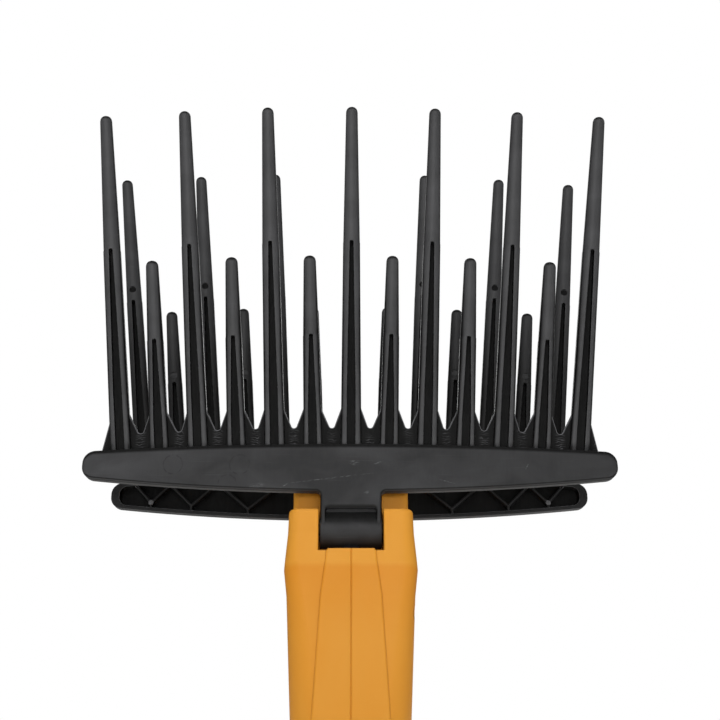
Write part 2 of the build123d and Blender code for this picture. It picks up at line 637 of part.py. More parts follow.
def make_eccentric(bottom, hub_bottom, hub_top, offset):
    """Disc set off the shaft's axis, with a round hub above and below it."""
    with BuildPart() as eccentric:
        with Locations((offset, 0, bottom)):
            Cylinder(ECCENTRIC_R, YOKE_THICKNESS, align=BOTTOM)
        with Locations((0, 0, hub_bottom)):
            Cylinder(ECCENTRIC_HUB_R, hub_top - hub_bottom, align=BOTTOM)
            Cylinder(SHAFT_R, hub_top - hub_bottom, align=BOTTOM, mode=Mode.SUBTRACT)
    return eccentric.part


save(make_eccentric(FRONT_YOKE_BOTTOM, YOKE_PIN_Z, UPPER_BEARING, THROW), "front_eccentric")
save(make_eccentric(REAR_YOKE_BOTTOM, LOWER_BEARING + SHAFT_BEARING_WIDTH, YOKE_PIN_Z, -THROW),
     "rear_eccentric")
save(make_bearing(ECCENTRIC_R, ROLLER_R, YOKE_THICKNESS, FRONT_YOKE_BOTTOM, THROW),
     "front_eccentric_bearing")
save(make_bearing(ECCENTRIC_R, ROLLER_R, YOKE_THICKNESS, REAR_YOKE_BOTTOM, -THROW),
     "rear_eccentric_bearing")
for name, bottom in (("upper_shaft_bearing", UPPER_BEARING), ("lower_shaft_bearing", LOWER_BEARING)):
    save(make_bearing(SHAFT_R + RUNNING, SHAFT_BEARING_R, SHAFT_BEARING_WIDTH, bottom), name)

with BuildPart() as eccentric_shaft:
    with Locations((0, 0, SHAFT_BOTTOM)):
        Cylinder(SHAFT_R, BRIDGE_TOP - SHAFT_BOTTOM, align=BOTTOM)
    chamfer(eccentric_shaft.edges().filter_by(GeomType.CIRCLE), SHAFT_CHAMFER)
save(eccentric_shaft.part, "eccentric_shaft")


# Reduction gear

def gear_points(teeth, addendum, dedendum, thinning):
    """Corner points of a gear's outline, with involute flanks drawn through the pitch circle."""
    pitch_r = MODULE * teeth / 2
    base_r = pitch_r * cos(PRESSURE_ANGLE)
    half_pitch = pi / (2 * teeth) - thinning / (2 * pitch_r)

    def half_angle(radius):
        """Half the tooth's angle at a radius on the involute."""
        roll = acos(base_r / max(radius, base_r))
        return half_pitch + (tan(PRESSURE_ANGLE) - PRESSURE_ANGLE) - (tan(roll) - roll)

    radii = (pitch_r - dedendum, pitch_r, pitch_r + addendum)
    points = []
    for tooth in range(teeth):
        centre = 2 * pi * tooth / teeth
        flank = [(radius, half_angle(radius)) for radius in radii]
        for radius, angle in flank:
            points.append((radius * cos(centre - angle), radius * sin(centre - angle)))
        for radius, angle in reversed(flank):
            points.append((radius * cos(centre + angle), radius * sin(centre + angle)))
    return points


with BuildPart() as sun_pinion:
    with BuildSketch(Plane.XY.offset(SUN_BOTTOM)):
        Polygon(*gear_points(SUN_TEETH, ADDENDUM, DEDENDUM, BACKLASH), align=None)
        Circle(MOTOR_SHAFT_R, mode=Mode.SUBTRACT)
    extrude(amount=PLANET_TOP - SUN_BOTTOM)
save(sun_pinion.part, "sun_pinion")

for number in range(PLANET_COUNT):
    with BuildPart() as planet_gear:
        with BuildSketch(Plane.XY.offset(PLANET_BOTTOM)):
            with PolarLocations(PLANET_ORBIT, 1, start_angle=number * 360 / PLANET_COUNT):
                Polygon(*gear_points(PLANET_TEETH, ADDENDUM, DEDENDUM, BACKLASH), align=None)
                Circle(PLANET_PIN_R + RUNNING, mode=Mode.SUBTRACT)
        extrude(amount=GEAR_WIDTH)
    save(planet_gear.part, f"planet_gear_{number + 1}")

with BuildPart() as ring_gear:
    with BuildSketch(Plane.XY.offset(RING_BOTTOM)):
        Circle(RING_R)
        Polygon(*gear_points(RING_TEETH, DEDENDUM, ADDENDUM, -BACKLASH), align=None, mode=Mode.SUBTRACT)
    extrude(amount=RING_TOP - RING_BOTTOM)
save(ring_gear.part, "ring_gear")

with BuildPart() as planet_carrier:
    with BuildSketch(Plane.XY.offset(CARRIER_BOTTOM)):
        Circle(CARRIER_R)
        with PolarLocations(PLANET_ORBIT, PLANET_COUNT):
            Circle(PLANET_PIN_R, mode=Mode.SUBTRACT)
    extrude(amount=CARRIER_TOP - CARRIER_BOTTOM)
    with BuildSketch(Plane.XY.offset(CARRIER_TOP)):
        Circle(CARRIER_HUB_R)
    extrude(amount=CARRIER_STEP - CARRIER_TOP)
    with BuildSketch(Plane.XY.offset(CARRIER_STEP)):
        Circle(ECCENTRIC_HUB_R)
    extrude(amount=LOWER_BEARING - CARRIER_STEP)
    with Locations((0, 0, SHAFT_BOTTOM)):
        Cylinder(SHAFT_R, LOWER_BEARING, align=BOTTOM, mode=Mode.SUBTRACT)
save(planet_carrier.part, "planet_carrier")

with BuildPart() as planet_pins:
    with PolarLocations(PLANET_ORBIT, PLANET_COUNT):
        with Locations((0, 0, PLANET_BOTTOM - PLANET_END_PLAY)):
            Cylinder(PLANET_PIN_R, CARRIER_TOP - PLANET_BOTTOM + PLANET_END_PLAY, align=BOTTOM)
            Cylinder(PLANET_HEAD_R, PLANET_HEAD, align=TOP)
save(planet_pins.part, "planet_pins")

LID_SCREWS = [(CASE_R * cos(radians(turn)), CASE_R * sin(radians(turn))) for turn in (0, 90, 180, 270)]
with BuildPart() as gear_case:
    with BuildSketch(Plane.XY.offset(MOTOR_TOP)):
        Circle(CASE_R)
        with Locations(*LID_SCREWS):
            Circle(CASE_LUG_R)
    extrude(amount=LID_BOTTOM - MOTOR_TOP)
    with Locations((0, 0, RING_BOTTOM)):
        Cylinder(RING_R, LID_BOTTOM - RING_BOTTOM, align=BOTTOM, mode=Mode.SUBTRACT)
    with Locations((0, 0, CASE_FLOOR)):
        Cylinder(RING_R - RING_LEDGE, LID_BOTTOM - CASE_FLOOR, align=BOTTOM, mode=Mode.SUBTRACT)
    with Locations((0, 0, MOTOR_TOP)):
        Cylinder(MOTOR_BOSS_R + SEAT_PLAY, 4 * MOTOR_BOSS, mode=Mode.SUBTRACT)
    with Locations(*[(side * MOTOR_SCREW_X, 0, MOTOR_TOP) for side in (-1, 1)]):
        Cylinder(MOTOR_SCREW_R + SEAT_PLAY, 4 * MOTOR_BOSS, mode=Mode.SUBTRACT)
    with Locations(*[(x, y, LID_BOTTOM) for x, y in LID_SCREWS]):
        Cylinder(LID_SCREW_R, 2 * LID_SCREW_GRIP, mode=Mode.SUBTRACT)
save(gear_case.part, "gear_case")

with BuildPart() as gear_case_lid:
    with BuildSketch(Plane.XY.offset(LID_BOTTOM)):
        Circle(CASE_R)
        with Locations(*LID_SCREWS):
            Circle(CASE_LUG_R)
    extrude(amount=LID_FLANGE_TOP - LID_BOTTOM)
    with BuildSketch(Plane.XY.offset(RING_TOP)):
        Circle(RING_R - SEAT_PLAY)
        Circle(RING_R - LID_SPIGOT, mode=Mode.SUBTRACT)
    extrude(amount=LID_BOTTOM - RING_TOP)
    with BuildSketch(Plane.XY.offset(LID_FLANGE_TOP)):
        RectangleRounded(2 * RAIL_OUTER, 2 * RAIL_HALF, BRIDGE_CORNER)
    extrude(amount=DECK_TOP - LID_FLANGE_TOP)
    with Locations((0, 0, LOWER_BEARING)):
        Cylinder(SHAFT_BEARING_R, DECK_TOP - LOWER_BEARING, align=BOTTOM, mode=Mode.SUBTRACT)
    with Locations((0, 0, LID_BOTTOM)):
        Cylinder(CARRIER_HUB_R + CARRIER_PLAY, DECK_TOP - LID_BOTTOM, align=BOTTOM, mode=Mode.SUBTRACT)
        Cylinder(CARRIER_R + CARRIER_PLAY, CARRIER_PLAY, align=BOTTOM, mode=Mode.SUBTRACT)
    with Locations(*[(x, y, DECK_TOP) for x, y in RAIL_SCREWS]):
        Cylinder(SCREW_R, 2 * RAIL_SCREW_GRIP, mode=Mode.SUBTRACT)
    with Locations(*[(x, y, LID_BOTTOM) for x, y in LID_SCREWS]):
        Cylinder(LID_SCREW_R, 2 * LID_SCREW_GRIP, mode=Mode.SUBTRACT)
save(gear_case_lid.part, "gear_case_lid")

with BuildPart() as lid_screws:
    with Locations(*[(x, y, LID_FLANGE_TOP) for x, y in LID_SCREWS]):
        Cylinder(LID_SCREW_HEAD_R, LID_SCREW_HEAD, align=BOTTOM)
        Cylinder(LID_SCREW_R, LID_FLANGE_TOP - LID_BOTTOM + LID_SCREW_GRIP, align=TOP)
save(lid_screws.part, "lid_screws")

# Motor
shaft_hole_r = MOTOR_SHAFT_R + MOTOR_SHAFT_PLAY
with BuildPart() as motor_can:
    with BuildSketch(Plane.XZ):
        with BuildLine():
            Polyline((shaft_hole_r, MOTOR_TOP + MOTOR_BOSS), (MOTOR_BOSS_R, MOTOR_TOP + MOTOR_BOSS),
                     (MOTOR_BOSS_R, MOTOR_TOP), (MOTOR_R, MOTOR_TOP), (MOTOR_R, MOTOR_BOTTOM),
                     (MOTOR_R - MOTOR_WALL, MOTOR_BOTTOM), (MOTOR_R - MOTOR_WALL, MOTOR_TOP - MOTOR_WALL),
                     (shaft_hole_r, MOTOR_TOP - MOTOR_WALL), close=True)
        make_face()
    revolve(axis=Axis.Z)
    with Locations(*[(side * MOTOR_SCREW_X, 0, MOTOR_TOP) for side in (-1, 1)]):
        Cylinder(MOTOR_SCREW_R + SEAT_PLAY, 4 * MOTOR_WALL, mode=Mode.SUBTRACT)
save(motor_can.part, "motor_can")

with BuildPart() as motor_magnets:
    with BuildSketch(Plane.XZ):
        with Locations((MAGNET_INNER_R, MOTOR_BOTTOM + MAGNET_LIFT)):
            Rectangle(MOTOR_R - MOTOR_WALL - MAGNET_INNER_R, MAGNET_LENGTH, align=(Align.MIN, Align.MIN))
    revolve(axis=Axis.Z, revolution_arc=MAGNET_ANGLE)
    add(motor_magnets.part, rotation=(0, 0, 180))
save(motor_magnets.part, "motor_magnets")

with BuildPart() as motor_rotor:
    with Locations((0, 0, MOTOR_BOTTOM - MOTOR_SHAFT_FOOT)):
        Cylinder(MOTOR_SHAFT_R, PLANET_TOP - MOTOR_BOTTOM + MOTOR_SHAFT_FOOT, align=BOTTOM)
    with BuildSketch(Plane.XY.offset(MOTOR_BOTTOM + ARMATURE_LIFT)):
        Circle(ARMATURE_R)
        with PolarLocations(ARMATURE_R, ARMATURE_SLOTS):
            Rectangle(2 * ARMATURE_SLOT_DEPTH, ARMATURE_SLOT_WIDTH, mode=Mode.SUBTRACT)
    extrude(amount=ARMATURE_LENGTH)
    with Locations((0, 0, MOTOR_BOTTOM + COMMUTATOR_LIFT)):
        Cylinder(COMMUTATOR_R, COMMUTATOR_LENGTH, align=BOTTOM)
save(motor_rotor.part, "motor_rotor")

with BuildPart() as motor_end_cap:
    with BuildSketch(Plane.XZ):
        with BuildLine():
            Polyline((0, CAP_BOTTOM), (MOTOR_R - CAP_EDGE, CAP_BOTTOM), (MOTOR_R, CAP_BOTTOM + CAP_EDGE),
                     (MOTOR_R, MOTOR_BOTTOM), (MOTOR_SHAFT_R + RUNNING, MOTOR_BOTTOM),
                     (MOTOR_SHAFT_R + RUNNING, CAP_BOTTOM + CAP_EDGE), (0, CAP_BOTTOM + CAP_EDGE), close=True)
        make_face()
    revolve(axis=Axis.Z)
save(motor_end_cap.part, "motor_end_cap")

with BuildPart() as motor_terminals:
    with Locations(*[(side * TERMINAL_X, 0, CAP_BOTTOM) for side in (-1, 1)]):
        Box(TERMINAL_THICKNESS, TERMINAL_WIDTH, TERMINAL_LENGTH, align=TOP)
save(motor_terminals.part, "motor_terminals")

with BuildPart() as motor_screws:
    with Locations(*[(side * MOTOR_SCREW_X, 0, CASE_FLOOR) for side in (-1, 1)]):
        Cylinder(MOTOR_SCREW_R, MOTOR_SCREW_LENGTH, align=TOP)
save(motor_screws.part, "motor_screws")

with BuildPart() as motor_leads:
    for side in (-1, 1):
        with BuildLine() as lead_path:
            FilletPolyline((side * PLUG_POLE_X, 0, PLUG_TOP), (side * PLUG_POLE_X, 0, PLUG_TOP + LEAD_RISE),
                           (side * TERMINAL_X, 0, PLUG_TOP + LEAD_RISE + LEAD_SPREAD),
                           (side * TERMINAL_X, 0, CAP_BOTTOM - TERMINAL_LENGTH), radius=LEAD_BEND_R)
        with BuildSketch(Plane(origin=(side * PLUG_POLE_X, 0, PLUG_TOP), z_dir=(0, 0, 1))):
            Circle(LEAD_R)
        sweep(path=lead_path.line)
save(motor_leads.part, "motor_leads")

with BuildPart() as lead_connector:
    with BuildSketch(Plane.XY.offset(PLUG_BOTTOM)):
        RectangleRounded(2 * PLUG_HALF, 2 * PLUG_HALF, PLUG_CORNER)
    extrude(amount=PLUG_TOP - PLUG_BOTTOM)
    with Locations((-PLUG_POLE_X, 0, PLUG_BOTTOM), (PLUG_POLE_X, 0, PLUG_BOTTOM)):
        Cylinder(PLUG_POLE_R, 2 * PLUG_POLE_DEPTH, mode=Mode.SUBTRACT)
save(lead_connector.part, "lead_connector")

# Pole socket: a sleeve with a collar at its mouth and a roof that holds the connector
with BuildPart() as pole_socket:
    Cylinder(SOCKET_R, SOCKET_TOP, align=BOTTOM)
    Cylinder(COLLAR_R, COLLAR_HEIGHT, align=BOTTOM)
    chamfer(pole_socket.edges().filter_by(GeomType.CIRCLE).group_by(Axis.Z)[0], COLLAR_CHAMFER)
    Cylinder(POLE_BORE_R, SOCKET_TOP - SOCKET_ROOF, align=BOTTOM, mode=Mode.SUBTRACT)
    with BuildSketch(Plane.XY.offset(SOCKET_TOP)):
        RectangleRounded(2 * PLUG_HALF, 2 * PLUG_HALF, PLUG_CORNER)
    extrude(amount=-SOCKET_ROOF, mode=Mode.SUBTRACT)
    with Locations(Location((0, 0, CLAMP_SCREW_Z), ALONG_X)):
        Cylinder(CLAMP_SCREW_R, 4 * SOCKET_R, mode=Mode.SUBTRACT)
save(pole_socket.part, "pole_socket")

with BuildPart() as pole_clamp_screws:
    for side in (-1, 1):
        with BuildSketch(Plane.YZ.offset(side * (POLE_BORE_R + SEAT_PLAY))):
            with Locations((0, CLAMP_SCREW_Z)):
                Circle(CLAMP_SCREW_R)
        extrude(amount=side * CLAMP_SCREW_LENGTH)
        with BuildSketch(Plane.YZ.offset(side * (POLE_BORE_R + SEAT_PLAY + CLAMP_SCREW_LENGTH))):
            with Locations((0, CLAMP_SCREW_Z)):
                RegularPolygon(HEX_R, 6)
        extrude(amount=-side * HEX_DEPTH, mode=Mode.SUBTRACT)
save(pole_clamp_screws.part, "pole_clamp_screws")


# Housing

with BuildPart() as cavity:
    # Hollow inside of the housing: the lofted form less the walls, forks, bosses and cradles
    for height, width, depth, corner in HOUSING_SECTIONS[1:]:
        with BuildSketch(Plane.XY.offset(min(height, EAR_TOP - WALL))):
            RectangleRounded(width - 2 * WALL, depth - 2 * WALL, corner - WALL)
    loft(ruled=True)
    with BuildSketch(Plane.XY.offset(CORE_ROOT - WALL)):
        RectangleRounded(CORE_WIDTH - 2 * WALL, 2 * (FORK_BACK - WALL), CORE_CORNER / 2)
    extrude(amount=CORE_TOP - CORE_ROOT)
    for side, outwards in ((-1, Align.MAX), (1, Align.MIN)):
        with Locations((0, side * (FORK_BACK - WALL), FORK_FLOOR - WALL)):
            Box(2 * (FORK_HALF + WALL), BEYOND, BEYOND, align=(Align.CENTER, outwards, Align.MIN),
                mode=Mode.SUBTRACT)
        with Locations(Location((0, side * HINGE_Y, HINGE_Z), ALONG_X)):
            Cylinder(PIN_BOSS_R, BEYOND, mode=Mode.SUBTRACT)
    for y, height in HOUSING_SCREWS:
        with Locations(Location((0, y, height), ALONG_X)):
            Cylinder(SCREW_BOSS_R, BEYOND, mode=Mode.SUBTRACT)
    for height, radius in CRADLES:
        with Locations((0, 0, height)):
            Box(BEYOND, BEYOND, CRADLE, align=BOTTOM, mode=Mode.SUBTRACT)
            Cylinder(radius + SEAT_PLAY, CRADLE, align=BOTTOM)
    with Locations(*[(x, y, MOTOR_TOP) for x, y in LID_SCREWS]):
        Cylinder(CASE_LUG_R + SEAT_PLAY, LID_FLANGE_TOP - MOTOR_TOP, align=BOTTOM)
    Cylinder(SOCKET_R + SEAT_PLAY, PLUG_TOP, align=BOTTOM)

with BuildPart() as housing:
    # Outer form: lofted body with rounded ears, raised middle panels and the core between the forks
    for height, width, depth, corner in HOUSING_SECTIONS:
        with BuildSketch(Plane.XY.offset(height)):
            RectangleRounded(width, depth, corner)
    loft(ruled=True)
    fillet(housing.faces().sort_by(Axis.Z)[-1].edges(), EAR_EDGE)
    for half, (height, width, depth, corner) in zip(PANEL_HALVES, HOUSING_SECTIONS[1:]):
        with BuildSketch(Plane.XY.offset(height)):
            RectangleRounded(2 * half, depth + 2 * PANEL_RISE, PANEL_EDGE)
    loft(ruled=True)
    with BuildSketch(Plane.XY.offset(CORE_ROOT)):
        RectangleRounded(CORE_WIDTH, 2 * FORK_BACK, CORE_CORNER)
    extrude(amount=CORE_TOP - CORE_ROOT)
    fillet(housing.faces().sort_by(Axis.Z)[-1].edges(), CORE_EDGE)
    add(cavity.part, mode=Mode.SUBTRACT)
    # Forks, each with a lip under the panel's top and a window in the floor for the drive arm
    for side, outwards in ((-1, Align.MAX), (1, Align.MIN)):
        with Locations((0, side * FORK_BACK, FORK_FLOOR + SILL_LIP)):
            Box(2 * FORK_HALF, BEYOND, BEYOND, align=(Align.CENTER, outwards, Align.MIN), mode=Mode.SUBTRACT)
        with BuildSketch(Plane.XY.offset(FORK_FLOOR)):
            with Locations((0, side * FORK_BACK)):
                Rectangle(2 * FORK_HALF, BEYOND, align=(Align.CENTER, outwards))
            with Locations((0, side * (SILL_Y - SILL_LIP_DEPTH))):
                Rectangle(2 * PANEL_HALVES[-1], BEYOND, align=(Align.CENTER, outwards), mode=Mode.SUBTRACT)
        extrude(amount=SILL_LIP, mode=Mode.SUBTRACT)
        with Locations((0, side * HINGE_Y, FORK_FLOOR)):
            Box(2 * ARM_WINDOW_X, 2 * ARM_WINDOW_Y, 4 * WALL, mode=Mode.SUBTRACT)
        with Locations(Location((0, side * HINGE_Y, HINGE_Z), ALONG_X)):
            Cylinder(PIN_R, 2 * PIN_HALF, mode=Mode.SUBTRACT)
    fork_mouths = housing.edges().filter_by(
        lambda edge: abs(abs(edge.center().X) - FORK_HALF) < SAME_PLACE and abs(edge.center().Y) > HINGE_Y
        and edge.center().Z > HINGE_Z - BARREL_R and edge.length > FORK_EDGE)
    fillet(fork_mouths, FORK_EDGE)
    # Fine groove along the seam on the front and the rear
    for side in (-1, 1):
        for sections, rise in ((HOUSING_SECTIONS[:2], 0.0), (HOUSING_SECTIONS[1:], PANEL_RISE)):
            for height, width, depth, corner in sections:
                with BuildSketch(Plane.XY.offset(height)):
                    with Locations((0, side * (depth / 2 + rise))):
                        Rectangle(sqrt(2) * SEAM_DEPTH, sqrt(2) * SEAM_DEPTH, rotation=45)
            loft(ruled=True, mode=Mode.SUBTRACT)
    # Screw holes from the right half into the left one, and holes over the clamp screws
    for y, height in HOUSING_SCREWS:
        with Locations(Location((SCREW_SEAT_X, y, height), ALONG_X)):
            Cylinder(SCREW_HEAD_R + SCREW_HEAD_PLAY, BEYOND, align=BOTTOM, mode=Mode.SUBTRACT)
        with Locations(Location((SCREW_END_X - SEAT_PLAY, y, height), ALONG_X)):
            Cylinder(SCREW_R + SEAT_PLAY, SCREW_SEAT_X - SCREW_END_X + 2 * SEAT_PLAY, align=BOTTOM,
                     mode=Mode.SUBTRACT)
    with Locations(Location((0, 0, CLAMP_SCREW_Z), ALONG_X)):
        Cylinder(CLAMP_SCREW_R + CLAMP_HOLE_PLAY, BEYOND, mode=Mode.SUBTRACT)

with BuildPart() as housing_right:
    add(housing.part)
    split(bisect_by=Plane.YZ, keep=Keep.TOP)
save(housing_right.part, "housing_right")

with BuildPart() as housing_left:
    add(housing.part)
    split(bisect_by=Plane.YZ, keep=Keep.BOTTOM)
save(housing_left.part, "housing_left")

with BuildPart() as housing_screws:
    for y, height in HOUSING_SCREWS:
        with Locations(Location((SCREW_SEAT_X, y, height), ALONG_X)):
            Cylinder(SCREW_HEAD_R, SCREW_HEAD, align=BOTTOM)
        with Locations(Location((SCREW_END_X, y, height), ALONG_X)):
            Cylinder(SCREW_R, SCREW_SEAT_X - SCREW_END_X, align=BOTTOM)
save(housing_screws.part, "housing_screws")
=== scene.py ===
import json
from collections import namedtuple
from functools import partial
from math import atan2, asin, cos, pi, radians, sin, sqrt, tan

import bmesh
import bpy
from mathutils import Matrix, Vector


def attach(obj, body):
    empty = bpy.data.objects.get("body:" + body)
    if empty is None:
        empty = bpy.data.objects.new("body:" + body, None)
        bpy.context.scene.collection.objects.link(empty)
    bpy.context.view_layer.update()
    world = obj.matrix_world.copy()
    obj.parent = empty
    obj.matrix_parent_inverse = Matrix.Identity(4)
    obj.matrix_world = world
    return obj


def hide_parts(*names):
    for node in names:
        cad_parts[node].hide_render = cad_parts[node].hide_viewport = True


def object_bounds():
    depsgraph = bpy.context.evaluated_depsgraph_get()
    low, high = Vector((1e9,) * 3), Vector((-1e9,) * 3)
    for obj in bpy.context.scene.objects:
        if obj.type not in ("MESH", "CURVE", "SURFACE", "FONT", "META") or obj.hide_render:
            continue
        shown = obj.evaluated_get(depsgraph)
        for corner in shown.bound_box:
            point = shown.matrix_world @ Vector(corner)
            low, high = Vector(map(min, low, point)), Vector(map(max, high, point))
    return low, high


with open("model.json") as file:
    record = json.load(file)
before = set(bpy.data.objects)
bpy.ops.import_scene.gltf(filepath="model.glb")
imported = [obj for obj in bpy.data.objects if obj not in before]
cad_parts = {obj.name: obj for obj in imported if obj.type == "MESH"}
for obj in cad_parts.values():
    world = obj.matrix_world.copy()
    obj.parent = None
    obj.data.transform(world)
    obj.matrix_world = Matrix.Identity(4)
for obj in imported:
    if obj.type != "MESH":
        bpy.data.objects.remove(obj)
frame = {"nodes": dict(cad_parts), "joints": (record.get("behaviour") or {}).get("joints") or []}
CAD_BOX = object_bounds()

bl_info = {
    "name": "Olive harvester head",
    "version": (1, 0, 0),
    "blender": (4, 5, 0),
    "location": "View3D > Sidebar > Harvester",
    "description": "Moulded combs, finishes and studio of an olive harvester head",
    "category": "Object",
}

MM = 0.001
NODES = frame["nodes"]
JOINTS = {joint["name"]: joint for joint in frame["joints"]}
HINGE = Vector(JOINTS["front_comb_swing"]["pos_m"])
# Number of the outermost tine, counted from the middle one. Even numbers are long tines.
OUTER_TINE = 6
# How far each tine's tip stands aside from the even fan and short of its full length, in mm, as photographed.
TIP_SETS = ((2.7, 3.2), (0.6, 1.2), (-0.9, 2.0), (0.0, 0.7), (-0.7, 0.7), (-1.2, 0.4), (0.5, 0.4),
            (1.2, 0.4), (1.2, 0.6), (0.0, 0.6), (1.1, 0.9), (0.0, 0.8), (0.5, 0.7))
# Nodes of the zigzag ribs from the bar's middle to its end, in mm, at the upper and lower rim in turn.
RIB_NODES = (0.0, 24.0, 50.0, 76.5, 100.0, 119.0, 135.5, 149.2, 161.0)


# Sizes and colours

def linear(hex_colour):
    """Linear RGB of an sRGB hex colour."""
    channels = [int(hex_colour[place:place + 2], 16) / 255 for place in (1, 3, 5)]
    return [c / 12.92 if c <= 0.04045 else ((c + 0.055) / 1.055)**2.4 for c in channels]


def length(name, description, millimetres):
    """A size that a user may change, given in millimetres."""
    return bpy.props.FloatProperty(
        name=name, description=description, default=millimetres * MM, unit="LENGTH", precision=5)


def angle(name, description, degrees):
    """An angle that a user may change, given in degrees."""
    return bpy.props.FloatProperty(
        name=name, description=description, default=radians(degrees), unit="ROTATION")


def colour(name, description, hex_colour):
    """A colour that a user may change, given as sRGB hex."""
    return bpy.props.FloatVectorProperty(
        name=name, description=description, default=linear(hex_colour), size=3, subtype="COLOR",
        min=0.0, max=1.0)


def power(name, description, watts):
    """A lamp's power that a user may change, given in watts."""
    return bpy.props.FloatProperty(name=name, description=description, default=watts, unit="POWER")


class CombSizes(bpy.types.PropertyGroup):
    """Sizes of one moulded comb."""

    pitch: length("Tine pitch", "Spacing of the tine roots along the bar", 25.8)
    fan: angle("Fan", "Lean of the outermost tine", 7.6)
    tilt: angle("Tilt", "Lean of all the tines away from the mid-plane", 1.0)
    root_drop: length("Root drop", "How far the outermost root lies below the middle one", 4.9)
    root_rise: length("Root rise", "Height of the middle root above the hinge axis", 58.1)
    plane: length("Tine plane", "Distance of the roots from the mid-plane", 44.0)
    long_tine: length("Long tine", "Length of the long tines", 266.0)
    short_tine: length("Short tine", "Length of the short tines", 140.3)
    long_groove: length("Long groove", "Height of the groove's end on the long tines", 150.2)
    short_groove: length("Short groove", "Height of the groove's end on the short tines", 77.7)
    long_root: length("Long root", "Half the width of a long tine at its root", 7.0)
    short_root: length("Short root", "Half the width of a short tine at its root", 6.25)
    root_flat: length("Root flat", "Half the width of a root's flat crest", 4.5)
    root_out: length("Root outer depth", "Depth of a root towards the outer side", 4.4)
    root_in: length("Root inner depth", "Depth of a root towards the inner side", 3.2)
    long_shoulder: length("Long shoulder", "Radius of a long tine where its groove ends", 6.1)
    short_shoulder: length("Short shoulder", "Radius of a short tine where its groove ends", 5.65)
    tip: length("Tip radius", "Radius of a tine just below its tip", 4.5)
    groove_root: length("Groove at the root", "Half the width of a groove near the root", 2.85)
    groove_top: length("Groove at the top", "Half the width of a groove at its end", 1.25)
    core_half: length("Core half", "Half the wall between the two grooves of a tine", 1.6)
    web_half: length("Web half", "Half the thickness of the webs", 1.5)
    web_rise: length("Web rise", "Height of a web where it leaves the tine", 25.0)
    notch_rise: length("Notch rise", "Height of the notch's point before it is rounded", 7.2)
    notch: length("Notch radius", "Rounding at the foot of each notch", 1.9)
    end_rise: length("End web rise", "Height of the small web outside the outermost tine", 21.0)
    end_reach: length("End web reach", "Reach of the small web outside the outermost tine", 13.2)
    bar_half: length("Bar half", "Half the bar's length", 179.1)
    bar_inner: length("Bar inner side", "Distance of the open inner side from the mid-plane", 41.0)
    bar_outer: length("Bar outer face", "Distance of the outer face from the mid-plane", 50.0)
    bar_top: length("Bar top", "Drop of the bar's upper edge below the root, in the middle", 1.7)
    bar_top_end: length("Bar top at the ends", "Drop of the bar's upper edge at the ends", 7.3)
    bar_bottom: length("Bar bottom", "Drop of the bar's lower edge, in the middle", 34.5)
    bar_bottom_end: length("Bar bottom at the ends", "Drop of the bar's lower edge at the ends", 25.4)
    bar_corner: length("Bar corner", "Rounding of the bar's ends", 8.4)
    bar_edge: length("Bar edge", "Rounding of the outer face's edge at the ends", 2.4)
    bar_edge_bias: bpy.props.FloatProperty(
        name="Bar edge bias", default=0.45,
        description="Share by which the upper edge is rounder and the lower edge sharper")
    rim: length("Rim", "Wall of the bar's rim", 2.8)
    end_rim: length("End rim", "Wall at the bar's ends", 6.2)
    face: length("Face", "Wall of the bar's outer face", 2.6)
    rib_half: length("Rib half", "Half the thickness of the zigzag ribs", 1.1)
    rib_foot: length("Rib foot", "Height of the short uprights under the ribs' lower nodes", 3.8)
    pin: length("Ejector pin", "Radius of the ejector pins' marks", 2.9)
    long_pin: length("Long pin rise", "Height of the ejector pin's mark on the long tines", 160.0)
    short_pin: length("Short pin rise", "Height of the ejector pin's mark on the short tines", 83.4)
    barrel: length("Barrel radius", "Radius of the hinge barrel", 12.25)
    barrel_half: length("Barrel half", "Half the barrel's width", 20.3)
    bush: length("Bush radius", "Radius of the bush in the barrel", 6.0)
    neck_fillet: length("Neck fillet", "Rounding between the neck and the bar", 3.2)
    lip: length("Neck lip", "Height of the recess's upper edge above the hinge axis", 12.7)
    recess_half: length("Recess half", "Half the width of the recess in the neck", 16.7)
    recess_back: length("Recess back", "Distance of the recess's back from the mid-plane", 41.5)


